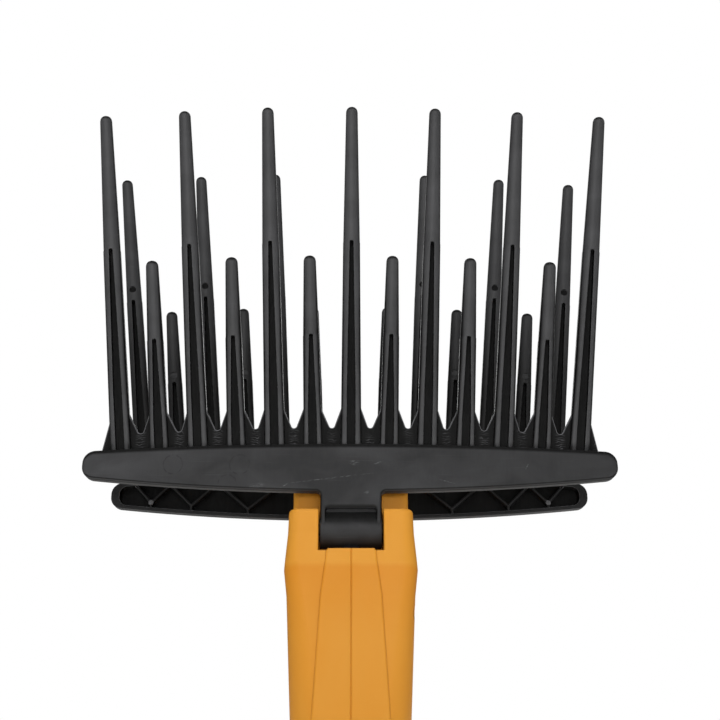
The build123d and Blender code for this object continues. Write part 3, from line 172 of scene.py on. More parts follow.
class Finishes(bpy.types.PropertyGroup):
    """Colours of the finishes."""

    nylon: colour("Nylon", "Black of the combs", "#3a3a3b")
    # Painted shade: the bars are drawn darker than the tines, standing in for their weaker sheen.
    nylon_bar_less_sheen: colour("Nylon of the bars", "Black of the bars' finer face", "#212122")
    # Painted shade: on side walls, grooves, webs, hollows, faces turned up or down, the inner side and the
    # rounding of the bars' lower edges.
    nylon_painted_shade: colour("Nylon, deep", "Deeper black of the walls, grooves and hollows", "#070707")
    # The nylon's scuffs, scratches and tool ripples, and painted highlights on rims, bosses, undersides and
    # the upper tines.
    nylon_pale: colour("Nylon, rubbed", "Rubbed and scratched places of the combs", "#77777a")
    abs_orange: colour("ABS", "Orange of the housing", "#d6922e")
    # Painted shade below the housing's crease, mixed with random clouds.
    abs_shade_and_cloud: colour("ABS, deep", "Deeper tone below the crease and in cloudy places", "#d0841a")
    # Painted shade in the seam and the steps of the panels beside it.
    abs_step_shade: colour("ABS, dusty", "Dusty steps and seam of the housing", "#a5641c")
    steel: colour("Steel", "Ground steel", "#b4b3b0")
    polished_steel: colour("Polished steel", "Bearing rings", "#cfd0d2")
    black_oxide: colour("Black oxide", "Blackened steel of the pins and drive arms", "#121213")
    cast_aluminium: colour("Cast aluminium", "Bead-blasted castings", "#a9abae")
    bronze: colour("Bronze", "Sintered bushes", "#5a4327")
    zinc: colour("Zinc", "Plated screws", "#b9b8ad")
    nickel: colour("Nickel", "Plated motor can", "#a5a59f")
    ferrite: colour("Ferrite", "Sintered magnets", "#34343a")
    laminations: colour("Laminations", "Stacked sheets of the rotor", "#6d6a66")
    brass: colour("Brass", "Contacts", "#c2a25a")
    acetal: colour("Acetal", "Guide rails", "#e4e3dc")
    motor_plastic: colour("Motor plastic", "Cap and connector of the motor", "#232324")
    lead: colour("Lead", "Insulation of the leads", "#8e1d1c")


class Studio(bpy.types.PropertyGroup):
    """Camera and lights."""

    lens: bpy.props.FloatProperty(
        name="Lens", description="Focal length on a 36 mm sensor", default=50.0, unit="CAMERA")
    camera: bpy.props.FloatVectorProperty(
        name="Camera", description="Place of the camera", default=(-4.6 * MM, -697.9 * MM, 99.3 * MM),
        size=3, subtype="TRANSLATION", precision=5)
    pitch: angle("Pitch", "How far the camera looks up", 20.85)
    yaw: angle("Yaw", "How far the camera looks to the right", 0.95)
    roll: angle("Roll", "Turn of the camera about its own axis", -0.17)
    key: power("Key light", "Power of the soft light in front", 6.1)
    fill: power("Side lights", "Power of each soft light at the sides", 0.5)
    low: power("Low light", "Power of the soft light low in front", 0.9)
    top: power("Top light", "Power of the soft light overhead", 4.5)
    back: power("Back light", "Power of the soft light behind", 0.8)
    ambient: bpy.props.FloatProperty(
        name="Ambient", description="Strength of the even light all round", default=0.34)
    room: bpy.props.FloatProperty(
        name="Room", description="Strength of the dim room that shiny surfaces see", default=0.05)
    backdrop_axis: bpy.props.FloatVectorProperty(
        name="Backdrop", description="Direction of the white backdrop's middle", default=(0.0, 0.97, 0.24),
        size=3, subtype="DIRECTION")
    backdrop_reach: angle("Backdrop reach", "Half the angle that the white backdrop fills", 40)
    floor: colour("Floor", "Pale floor", "#efefec")


# Shapes

def rounded(corners, steps=6):
    """Closed outline through corners given as (across, up, radius), with the corners rounded."""
    points = []
    for place, (across, up, radius) in enumerate(corners):
        corner = Vector((across, up))
        if radius == 0:
            points.append(corner)
            continue
        before = (Vector(corners[place - 1][:2]) - corner).normalized()
        after = (Vector(corners[(place + 1) % len(corners)][:2]) - corner).normalized()
        half = before.angle(after) / 2
        centre = corner + (before + after).normalized() * radius / sin(half)
        start = corner + before * radius / tan(half) - centre
        end = corner + after * radius / tan(half) - centre
        turn = atan2(start.x * end.y - start.y * end.x, start.dot(end))
        for step in range(steps + 1):
            points.append(centre + Matrix.Rotation(turn * step / steps, 2) @ start)
    return points


def inset(outline, amount, bias=0.0):
    """An anticlockwise outline moved inwards with mitred corners, more at the top with a bias."""
    moved = []
    for place, point in enumerate(outline):
        normals = []
        for a, b in ((outline[place - 1], point), (point, outline[(place + 1) % len(outline)])):
            along = (b - a).normalized()
            normals.append(Vector((-along.y, along.x)))
        mitre = (normals[0] + normals[1]) / (1 + normals[0].dot(normals[1]))
        moved.append(point + mitre * amount * (1 - bias * mitre.normalized().y))
    return moved


def circle(across, up, radius, steps):
    """Closed round outline."""
    return [Vector((across + radius * cos(2 * pi * step / steps), up + radius * sin(2 * pi * step / steps)))
            for step in range(steps)]


def skin(rings):
    """Points and faces of one closed shell through rings of equal length."""
    count = len(rings[0])
    points = [point for ring in rings for point in ring]
    faces = [tuple(reversed(range(count))), tuple(range(len(points) - count, len(points)))]
    for row in range(0, len(points) - count, count):
        for place in range(count):
            after = (place + 1) % count
            faces.append((row + place, row + after, row + count + after, row + count + place))
    return points, faces


def slab(outline, profile, place, bias=0.0):
    """A shell whose outline is inset by different amounts at different distances along its axis."""
    return skin([[place(point, along) for point in inset(outline, amount, bias)]
                 for along, amount in profile])


def edge_profile(start, end, first, last, steps=5):
    """Profile of a slab with rounded edges at both ends and a flat border inside each edge."""
    border = 1.4
    profile = [(start, first * border)]
    for step in range(steps + 1):
        turn = pi / 2 * step / steps
        profile.append((start + first * (1 - cos(turn)), first * (1 - sin(turn))))
    for step in range(steps + 1):
        turn = pi / 2 * step / steps
        profile.append((end - last * (1 - sin(turn)), last * (1 - cos(turn))))
    profile.append((end, last * border))
    return profile


def facing(point, along):
    """A point of an outline drawn on the comb's outer face, at a distance from the mid-plane."""
    return Vector((point.x, -along, point.y))


def across(point, along):
    """A point of an outline drawn in a side view, at a distance along X."""
    return Vector((along, point.x, point.y))


def make_mesh(name, shells):
    """One mesh with outward normals from closed shells."""
    bm = bmesh.new()
    for points, faces in shells:
        corners = [bm.verts.new(point) for point in points]
        for face in faces:
            bm.faces.new([corners[place] for place in face])
    bmesh.ops.recalc_face_normals(bm, faces=bm.faces)
    mesh = bpy.data.meshes.new(name)
    bm.to_mesh(mesh)
    bm.free()
    return mesh


def carve(mesh, operation, shells):
    """The mesh with closed shells cut out of it or united with it, one after the other."""
    body = bpy.data.objects.new("carve_body", mesh)
    tools = []
    for shell in shells:
        tool = bpy.data.objects.new("carve_tool", make_mesh("carve_tool", [shell]))
        modifier = body.modifiers.new("carve", "BOOLEAN")
        modifier.operation = operation
        modifier.solver = "MANIFOLD"
        modifier.object = tool
        tools.append(tool)
    for piece in (body, *tools):
        bpy.context.scene.collection.objects.link(piece)
    depsgraph = bpy.context.evaluated_depsgraph_get()
    result = bpy.data.meshes.new_from_object(body.evaluated_get(depsgraph))
    if not result.polygons:
        raise RuntimeError(f"nothing left of {mesh.name}")
    result.name = mesh.name
    for tool in tools:
        bpy.data.meshes.remove(tool.data)
    bpy.data.meshes.remove(mesh)
    return result


# Comb

TineKind = namedtuple("TineKind", "tall groove root shoulder pin")


def tine_kinds(sizes):
    """Sizes in which the long and the short tines differ, by the remainder of a tine's number."""
    parts = ("tine", "groove", "root", "shoulder", "pin")
    return [TineKind(*[getattr(sizes, f"{name}_{part}") for part in parts]) for name in ("long", "short")]


def beside_tine(sizes, number, aside, up):
    """A point in the plane of the row, measured aside and up from one tine's root."""
    share = number / OUTER_TINE
    tip_aside, tip_short = TIP_SETS[number + OUTER_TINE]
    tall = tine_kinds(sizes)[number % 2].tall
    lean = sizes.fan * share + tip_aside * MM / tall
    up = up * (1 - tip_short * MM / tall)
    return Vector((number * sizes.pitch + up * sin(lean) + aside * cos(lean),
                   up * cos(lean) - aside * sin(lean) - sizes.root_drop * share**2))


def in_row(sizes, point, out):
    """A point of the row's plane, raised out of it towards the outer side."""
    return Vector((point.x, -sizes.plane - out * cos(sizes.tilt) - point.y * sin(sizes.tilt),
                   HINGE.z + sizes.root_rise + point.y * cos(sizes.tilt) - out * sin(sizes.tilt)))


def half_section(half_width, depth, corner, groove, floor, steps=5):
    """One side of a tine's outline, from the groove's middle round to the flank."""
    lip = 0.45 * MM
    slant = lip * (1 - sin(pi / 4))
    clear_of_lip = radians(4)
    flat = half_width - corner
    edge = groove + lip

    def contour(aside):
        """Depth of the outline at a distance from the middle."""
        if aside <= flat:
            return depth
        return depth - corner + sqrt(max(corner**2 - (aside - flat)**2, 0.0))

    start = 0.0
    if edge > flat:
        start = asin(min((edge - flat) / corner, 1.0)) + clear_of_lip
    if floor is None:
        points = [(edge * share / 7, contour(edge * share / 7)) for share in range(8)]
    else:
        top = contour(edge)
        points = [(0, floor), (groove - lip, floor), (groove - slant, floor + slant),
                  (groove, floor + lip), (groove, (floor + top) / 2), (groove, top - lip),
                  (groove + slant, top - slant), (edge, top)]
    for step in range(steps + 1):
        turn = start + (pi / 2 - start) * step / steps
        points.append((flat + corner * sin(turn), depth - corner + corner * cos(turn)))
    points.append((half_width, 0.0))
    return points


def ring_of(outer, inner):
    """Full outline of a tine from its outer and inner sides."""
    return (outer + [(x, -y) for x, y in reversed(inner[:-1])] + [(-x, -y) for x, y in inner[1:]]
            + [(-x, y) for x, y in reversed(outer[1:-1])])


def grooved_rings(sizes, kind):
    """Outlines of a tine's grooved part with their heights, from inside the bar to the groove's end."""
    even_share = 0.26
    root_sink = 2.4 * MM
    end = 1.0 * MM
    end_width = 0.45
    crest_flat = 0.7 * MM
    crest_extra = 0.1 * MM
    top = kind.groove
    taper = top * even_share
    heights = [-root_sink, 0.0, taper / 2] + [taper + (top - end - taper) * step / 6 for step in range(7)]
    narrowing = [(up, 1.0) for up in heights]
    for turn in (radians(30), radians(60), radians(85)):
        narrowing.append((top - end * (1 - sin(turn)), end_width + (1 - end_width) * cos(turn)))
    rings = []
    for up, narrow in narrowing:
        share = min(max(up / top, 0.0), 1.0)
        groove_share = min(max((up - taper) / (top - taper), 0.0), 1.0)
        half_width = kind.root + (kind.shoulder + crest_extra - kind.root) * share
        flat = sizes.root_flat + (crest_flat - sizes.root_flat) * share
        groove = (sizes.groove_root + (sizes.groove_top - sizes.groove_root) * groove_share) * narrow
        sides = []
        for side in (sizes.root_out, sizes.root_in):
            depth = side + (kind.shoulder - side) * share
            corner = min(half_width - flat, depth)
            sides.append(half_section(half_width, depth, corner, groove, sizes.core_half))
        rings.append((up, ring_of(*sides)))
    return rings


def round_rings(sizes, kind):
    """Outlines of a tine's round upper part with their heights, from the groove's end over the blunt tip."""
    step_up = 0.02 * MM
    bluntness = 0.78
    dome = 1.1 * sizes.tip
    below_dome = kind.tall - dome
    rounds = [(kind.groove + step_up, kind.shoulder)]
    for step in range(1, 7):
        share = step / 6
        rounds.append((kind.groove + (below_dome - kind.groove) * share,
                       kind.shoulder + (sizes.tip - kind.shoulder) * share))
    for degrees in (10, 24, 38, 52, 66, 78, 87):
        turn = radians(degrees)
        rounds.append((below_dome + dome * sin(turn)**bluntness, sizes.tip * cos(turn)**bluntness))
    rings = []
    for up, radius in rounds:
        side = half_section(radius, radius, radius, radius / 5, None)
        rings.append((up, ring_of(side, side)))
    return rings


def tine_shell(sizes, number, rings):
    """One tine in its place on the comb."""
    return skin([[in_row(sizes, beside_tine(sizes, number, aside, up), out) for aside, out in ring]
                 for up, ring in rings])


def pin_depth(sizes, kind):
    """Distance of an ejector pin's mark from the plane of the row."""
    sunk = 0.9 * MM
    share = (kind.pin - kind.groove) / (kind.tall - kind.groove)
    return kind.shoulder + (sizes.tip - kind.shoulder) * share - sunk


def pin_mark(sizes, number, kind):
    """Round flat that an ejector pin leaves on a tine's inner side, just above the groove's end."""
    depth = pin_depth(sizes, kind)
    chamfer = 0.25 * MM
    return slab(circle(*beside_tine(sizes, number, 0, kind.pin), sizes.pin, 28),
                [(depth - 0.6 * chamfer, chamfer), (depth, 0.0), (2 * kind.shoulder, 0.0)],
                lambda point, along: in_row(sizes, point, -along))


def tell_pin_marks(sizes, mesh, kinds):
    """Give the faces of the ejector marks a value that the finish reads: 1 on long tines, 2 on short ones."""
    marks = []
    for number in range(-OUTER_TINE, OUTER_TINE + 1):
        kind = kinds[number % 2]
        middle = beside_tine(sizes, number, 0, kind.pin)
        marks.append((in_row(sizes, middle, -pin_depth(sizes, kind)), 1.0 + number % 2))
    flat = Vector((0, cos(sizes.tilt), sin(sizes.tilt)))
    told = mesh.attributes.new("pin_mark", "FLOAT", "FACE")
    for face in mesh.polygons:
        for middle, value in marks:
            if (face.center - middle).length < sizes.pin and face.normal.dot(flat) > 0.99:
                told.data[face.index].value = value


def bar_edge(sizes, x):
    """Heights of the bar's lower and upper edge above the middle root, at a distance from the middle."""
    share = (x / sizes.bar_half)**2
    lower = -sizes.bar_bottom + (sizes.bar_bottom - sizes.bar_bottom_end) * share
    upper = -sizes.bar_top + (sizes.bar_top - sizes.bar_top_end) * share
    return lower, upper


def hollow_edge(sizes, x):
    """Heights of the hollow's lower and upper edge above the middle root, at a distance from the middle."""
    lower, upper = bar_edge(sizes, x)
    return lower + sizes.rim, upper - sizes.rim


def web_shell(sizes, path):
    """Web under a path in the row's plane, with a rounded rim along the path."""
    rim = 1.3 * MM
    sink = 1.4 * MM
    rings = []
    for place, point in enumerate(path):
        before = path[max(place - 1, 0)]
        after = path[min(place + 1, len(path) - 1)]
        along = (after - before).normalized()
        normal = Vector((-along.y, along.x))
        core = point - normal * rim
        base = Vector((core.x, bar_edge(sizes, core.x)[1] - sink))
        ring = [in_row(sizes, base, sizes.web_half), in_row(sizes, core, sizes.web_half)]
        for step in range(1, 8):
            turn = pi * step / 8
            ring.append(in_row(sizes, core + normal * rim * sin(turn), sizes.web_half * cos(turn)))
        rings.append(ring + [in_row(sizes, core, -sizes.web_half), in_row(sizes, base, -sizes.web_half)])
    return skin(rings)


def web_paths(sizes):
    """Rims of all the webs: a rounded notch in each gap and a slope outside the outermost tines."""
    lap = 1 * MM
    flank_sink = 0.3 * MM
    toe_sink = 0.6 * MM
    flanks = [kind.root - flank_sink for kind in tine_kinds(sizes)]
    paths = []
    for number in range(-OUTER_TINE, OUTER_TINE):
        low = [beside_tine(sizes, tine, 0, sizes.notch_rise).y for tine in (number, number + 1)]
        corners = [(*beside_tine(sizes, number, -lap, sizes.web_rise), 0),
                   (*beside_tine(sizes, number, flanks[number % 2], sizes.web_rise), 0),
                   ((number + 0.5) * sizes.pitch, sum(low) / 2, sizes.notch),
                   (*beside_tine(sizes, number + 1, -flanks[(number + 1) % 2], sizes.web_rise), 0),
                   (*beside_tine(sizes, number + 1, lap, sizes.web_rise), 0)]
        paths.append(rounded(corners, 10))
    for turn in (-1, 1):
        toe = turn * (OUTER_TINE * sizes.pitch + sizes.end_reach)
        number = turn * OUTER_TINE
        path = [beside_tine(sizes, number, -turn * lap, sizes.end_rise),
                beside_tine(sizes, number, turn * flanks[OUTER_TINE % 2], sizes.end_rise),
                Vector((toe, bar_edge(sizes, toe)[1] - toe_sink))]
        paths.append(path if turn > 0 else path[::-1])
    return paths


def boat_corners(sizes, edge, end, corner):
    """Corners of a boat-shaped outline, anticlockwise, split into the lower and the upper edge."""
    steps = 14
    end_run = 11 * MM
    root = HINGE.z + sizes.root_rise
    half = sizes.bar_half - end
    stations = [(half - end_run) * step / steps for step in range(-steps, steps + 1)]
    lower = [(x, root + edge(sizes, x)[0], 0) for x in stations]
    upper = [(x, root + edge(sizes, x)[1], 0) for x in reversed(stations)]
    low, high = edge(sizes, half)
    lower = [(-half, root + low, corner)] + lower + [(half, root + low, corner)]
    upper = [(half, root + high, corner)] + upper + [(-half, root + high, corner)]
    return lower, upper


def bar_shell(sizes):
    """Bar and neck as one flat piece with rounded edges."""
    inner_edge = 0.5 * MM
    neck = sizes.barrel_half
    clear = neck + 6 * MM
    lower, upper = boat_corners(sizes, bar_edge, 0.0, sizes.bar_corner)
    foot = HINGE.z + sizes.root_rise + bar_edge(sizes, neck)[0]
    lower = ([corner for corner in lower if corner[0] < -clear]
             + [(-neck, foot, sizes.neck_fillet), (-neck, HINGE.z, 0), (neck, HINGE.z, 0),
                (neck, foot, sizes.neck_fillet)]
             + [corner for corner in lower if corner[0] > clear])
    profile = edge_profile(sizes.bar_inner, sizes.bar_outer, inner_edge, sizes.bar_edge)
    return slab(rounded(lower + upper, 14), profile, facing, sizes.bar_edge_bias)


def hollow_shell(sizes):
    """Space of the bar's hollow inner side, with a rounded mouth and a fillet round its floor."""
    mouth_round = 0.5 * MM
    draft = 0.4 * MM
    fillet = 0.8 * MM
    mouth = sizes.bar_inner
    floor = sizes.bar_outer - sizes.face
    profile = [(mouth - 1 * MM, -mouth_round)]
    for turn in (0.0, radians(30), radians(60), radians(90)):
        profile.append((mouth + mouth_round * (1 - cos(turn)), -mouth_round * (1 - sin(turn))))
    for turn in (0.0, radians(45), radians(90)):
        profile.append((floor - fillet * (1 - sin(turn)), draft + fillet * (1 - cos(turn))))
    lower, upper = boat_corners(sizes, hollow_edge, sizes.end_rim, 6 * MM)
    return slab(rounded(lower + upper, 12), profile, facing)


def recess_shell(sizes):
    """Space of the recess in the neck, over the barrel, with a rounded lip along its upper edge."""
    fillet = 0.7 * MM
    flare = 1.3 * MM
    lip_bias = 1.1
    corner = 2.0 * MM
    half = sizes.recess_half
    low = HINGE.z - 2 * MM
    top = HINGE.z + sizes.lip
    profile = []
    for turn in (0.0, radians(45), radians(90)):
        profile.append((sizes.recess_back + fillet * (1 - cos(turn)), fillet * (1 - sin(turn))))
    for turn in (0.0, radians(30), radians(60), radians(90)):
        profile.append((sizes.bar_outer - flare * (1 - sin(turn)), flare * (cos(turn) - 1)))
    profile.append((sizes.bar_outer + 1 * MM, -flare))
    outline = rounded([(-half, low, 0), (half, low, 0), (half, top, corner), (-half, top, corner)])
    return slab(outline, profile, facing, lip_bias)


def end_marks(sizes):
    """Shallow round marks of ejector pins on the rim at the bar's ends."""
    radius = 1.7 * MM
    from_end = 3.7 * MM
    depth = 0.3 * MM
    middle = HINGE.z + sizes.root_rise + sum(bar_edge(sizes, sizes.bar_half)) / 2
    profile = [(sizes.bar_inner - 1 * MM, 0.0), (sizes.bar_inner + depth, 0.0)]
    return [slab(circle(turn * (sizes.bar_half - from_end), middle, radius, 20), profile, facing)
            for turn in (-1, 1)]


def bar_mesh(sizes):
    """Bar with the neck, its hollow inner side and the recess over the barrel."""
    tools = [hollow_shell(sizes), recess_shell(sizes), *end_marks(sizes)]
    return carve(make_mesh("comb_moulding", [bar_shell(sizes)]), "DIFFERENCE", tools)


def rib_shells(sizes):
    """Zigzag ribs in the bar's hollow side, on short uprights, with a small boss on each outermost one."""
    setback = 1.2 * MM
    flare = 0.25 * MM
    boss = 2.1 * MM
    boss_rise = 0.5 * MM
    root = HINGE.z + sizes.root_rise
    crest = sizes.bar_inner + setback
    floor = sizes.bar_outer - sizes.face / 2
    points = []
    for place, x in enumerate(RIB_NODES):
        low, high = hollow_edge(sizes, x * MM)
        height = high if place % 2 == 0 else low + sizes.rib_foot
        points.append(Vector((x * MM, root + height)))
    points = [Vector((-point.x, point.y)) for point in reversed(points[1:])] + points
    feet = points[1::2]
    runs = list(zip(points, points[1:])) + [(foot, foot - Vector((0, sizes.rib_foot))) for foot in feet]
    # A rounded crest on straight sides that flare towards the floor.
    profile = [(crest + down * MM, share * sizes.rib_half)
               for down, share in ((0.0, 0.9), (0.12, 0.5), (0.4, 0.15), (0.9, 0.0))]
    profile.append((floor, -flare))
    shells = []
    for a, b in runs:
        along = (b - a).normalized()
        aside = Vector((-along.y, along.x)) * sizes.rib_half
        reach = along * sizes.rib_half
        outline = [a - reach - aside, b + reach - aside, b + reach + aside, a - reach + aside]
        shells.append(slab(outline, profile, facing))
    boss_profile = edge_profile(crest - boss_rise, floor, 0.6 * MM, 0.1 * MM, 4)
    shells += [slab(circle(*foot, boss, 20), boss_profile, facing) for foot in (feet[0], feet[-1])]
    return shells


def barrel_mesh(sizes):
    """Hinge barrel with its stepped bore."""
    edge = 0.8 * MM
    seat = 1 * MM
    flange = sizes.bush + 2 * MM
    half = sizes.barrel_half
    outline = circle(HINGE.y, HINGE.z, sizes.barrel, 72)
    barrel = slab(outline, edge_profile(-half, half, edge, edge, 4), across)
    tools = []
    for radius, low, high in ((sizes.bush, -2 * half, 2 * half), (flange, -2 * half, seat - half),
                              (flange, half - seat, 2 * half)):
        tools.append(slab(circle(HINGE.y, HINGE.z, radius, 40), [(low, 0.0), (high, 0.0)], across))
    return carve(make_mesh("comb_barrel", [barrel]), "DIFFERENCE", tools)


def neck_shell(sizes):
    """Back of the neck, from the bar's inner side down to the barrel."""
    turn = radians(62)
    rise = HINGE.z + 27 * MM
    proud = 0.4 * MM
    overlap = 3 * MM
    fillet = 3 * MM
    edge = 1.2 * MM
    inner = -sizes.bar_inner
    back = Vector((HINGE.y + sizes.barrel * sin(turn), HINGE.z + sizes.barrel * cos(turn)))
    outline = rounded([(HINGE.y, HINGE.z, 0), (*back, 0), (inner + proud, rise, fillet),
                       (inner - overlap, rise, 0), (inner - overlap, HINGE.z, 0)])
    return slab(outline, edge_profile(-sizes.barrel_half, sizes.barrel_half, edge, edge, 4), across)


def shut_off_line(sizes):
    """Fine raised line under the recess's upper edge, along the barrel, where the mould's halves meet."""
    radius = 0.5 * MM
    sunk = 0.1 * MM
    half = sizes.recess_half - 0.2 * MM
    outline = circle(-sizes.recess_back - 0.4 * MM, HINGE.z + sizes.lip - sunk, radius, 16)
    return slab(outline, [(-half, 0.0), (half, 0.0)], across)


def comb_mesh(sizes):
    """The whole moulding in the front comb's place."""
    crisp = radians(36)
    kinds = tine_kinds(sizes)
    rings = [grooved_rings(sizes, kind) + round_rings(sizes, kind) for kind in kinds]
    numbers = range(-OUTER_TINE, OUTER_TINE + 1)
    shells = [tine_shell(sizes, number, rings[number % 2]) for number in numbers]
    shells += [web_shell(sizes, path) for path in web_paths(sizes)]
    shells += [*rib_shells(sizes), neck_shell(sizes), shut_off_line(sizes)]
    mesh = carve(bar_mesh(sizes), "UNION", shells)
    barrel = barrel_mesh(sizes)
    bm = bmesh.new()
    bm.from_mesh(mesh)
    bm.from_mesh(barrel)
    bm.to_mesh(mesh)
    bm.free()
    bpy.data.meshes.remove(barrel)
    mesh = carve(mesh, "DIFFERENCE", [pin_mark(sizes, number, kinds[number % 2]) for number in numbers])
    tell_pin_marks(sizes, mesh, kinds)
    mesh.polygons.foreach_set("use_smooth", [True] * len(mesh.polygons))
    mesh.set_sharp_from_angle(angle=crisp)
    return mesh


class HARVESTER_OT_combs(bpy.types.Operator):
    """Mould both combs"""

    bl_idname = "harvester.combs"
    bl_label = "Combs"

    def execute(self, context):
        scene = context.scene
        mesh = comb_mesh(scene.harvester_comb)
        mesh.materials.clear()
        mesh.materials.append(moulded_nylon(scene.harvester_finishes, scene.harvester_comb))
        for side, turn in (("front", 0.0), ("rear", pi)):
            comb = bpy.data.objects.new(f"{side}_comb_moulding", mesh)
            comb.rotation_euler.z = turn
            scene.collection.objects.link(comb)
            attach(comb, f"{side}_comb")
            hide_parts(f"{side}_comb")
        return {"FINISHED"}


# Materials

def node(tree, kind, inputs=None, output=None, **settings):
    """Add a node with its settings, fill or link its inputs, and return it or one of its outputs."""
    made = tree.nodes.new(kind)
    for key, value in settings.items():
        setattr(made, key, value)
    for socket, value in (inputs or {}).items():
        if isinstance(value, bpy.types.NodeSocket):
            tree.links.new(value, made.inputs[socket])
        else:
            made.inputs[socket].default_value = value
    return made if output is None else made.outputs[output]


def start_material(name):
    """An empty material with its output and the object's own coordinates in metres."""
    material = bpy.data.materials.new(name)
    material.use_nodes = True
    tree = material.node_tree
    tree.nodes.clear()
    output = node(tree, "ShaderNodeOutputMaterial")
    return material, tree, output, node(tree, "ShaderNodeTexCoord").outputs


def rgba(values):
    """A colour property as four channels."""
    return (*values, 1.0)


def per_metre(*millimetres):
    """Scale of a pattern whose features have the given sizes along X, Y and Z."""
    return [1 / (size * MM) for size in millimetres]


# Scuffs and scratches on a bar's face: middle along X, height over the hinge, half length and half width
# in mm, and rise in degrees.
SCUFFS = ((-14, 32.2, 34, 0.55, 7), (17.5, 42.5, 4.5, 0.7, 20), (-63, 26.6, 7, 2.4, 12), (2, 43, 4, 2.5, 0),
          (10, 22.5, 2.2, 1.6, 40), (-44.5, 27, 3.4, 0.6, 30), (64, 30, 7, 0.5, -15), (118, 41, 5, 0.5, 60))
# Witness rings of round mould inserts on a bar's face: middle along X, height over the hinge and radius
# in mm.
RINGS = ((-118.5, 41.5, 6.4), (-74.2, 41.5, 6.6), (-81.9, 28.4, 6.0))
# Patterns of the nylon: sizes along X, Y and Z in mm, detail, distortion, and turn about Y in radians.
# The mould's spark texture, the grain, is about 0.1 mm and is drawn at 0.6 mm to show.
NYLON_PATTERNS = {
    "cloud": ((38, 38, 22), 4.0, 0.6, 0.0),
    "flow": ((3, 3, 14), 3.0, 1.2, 0.0),
    "grain": ((0.6, 0.6, 0.6), 2.0, 0.0, 0.0),
    "bend": ((4, 4, 2.5), 1.0, 0.0, 0.0),
    "flecks": ((2.2, 2.2, 0.8), 3.0, 0.0, 0.0),
    "hairs": ((30, 30, 0.5), 0.0, 0.0, 0.35),
}


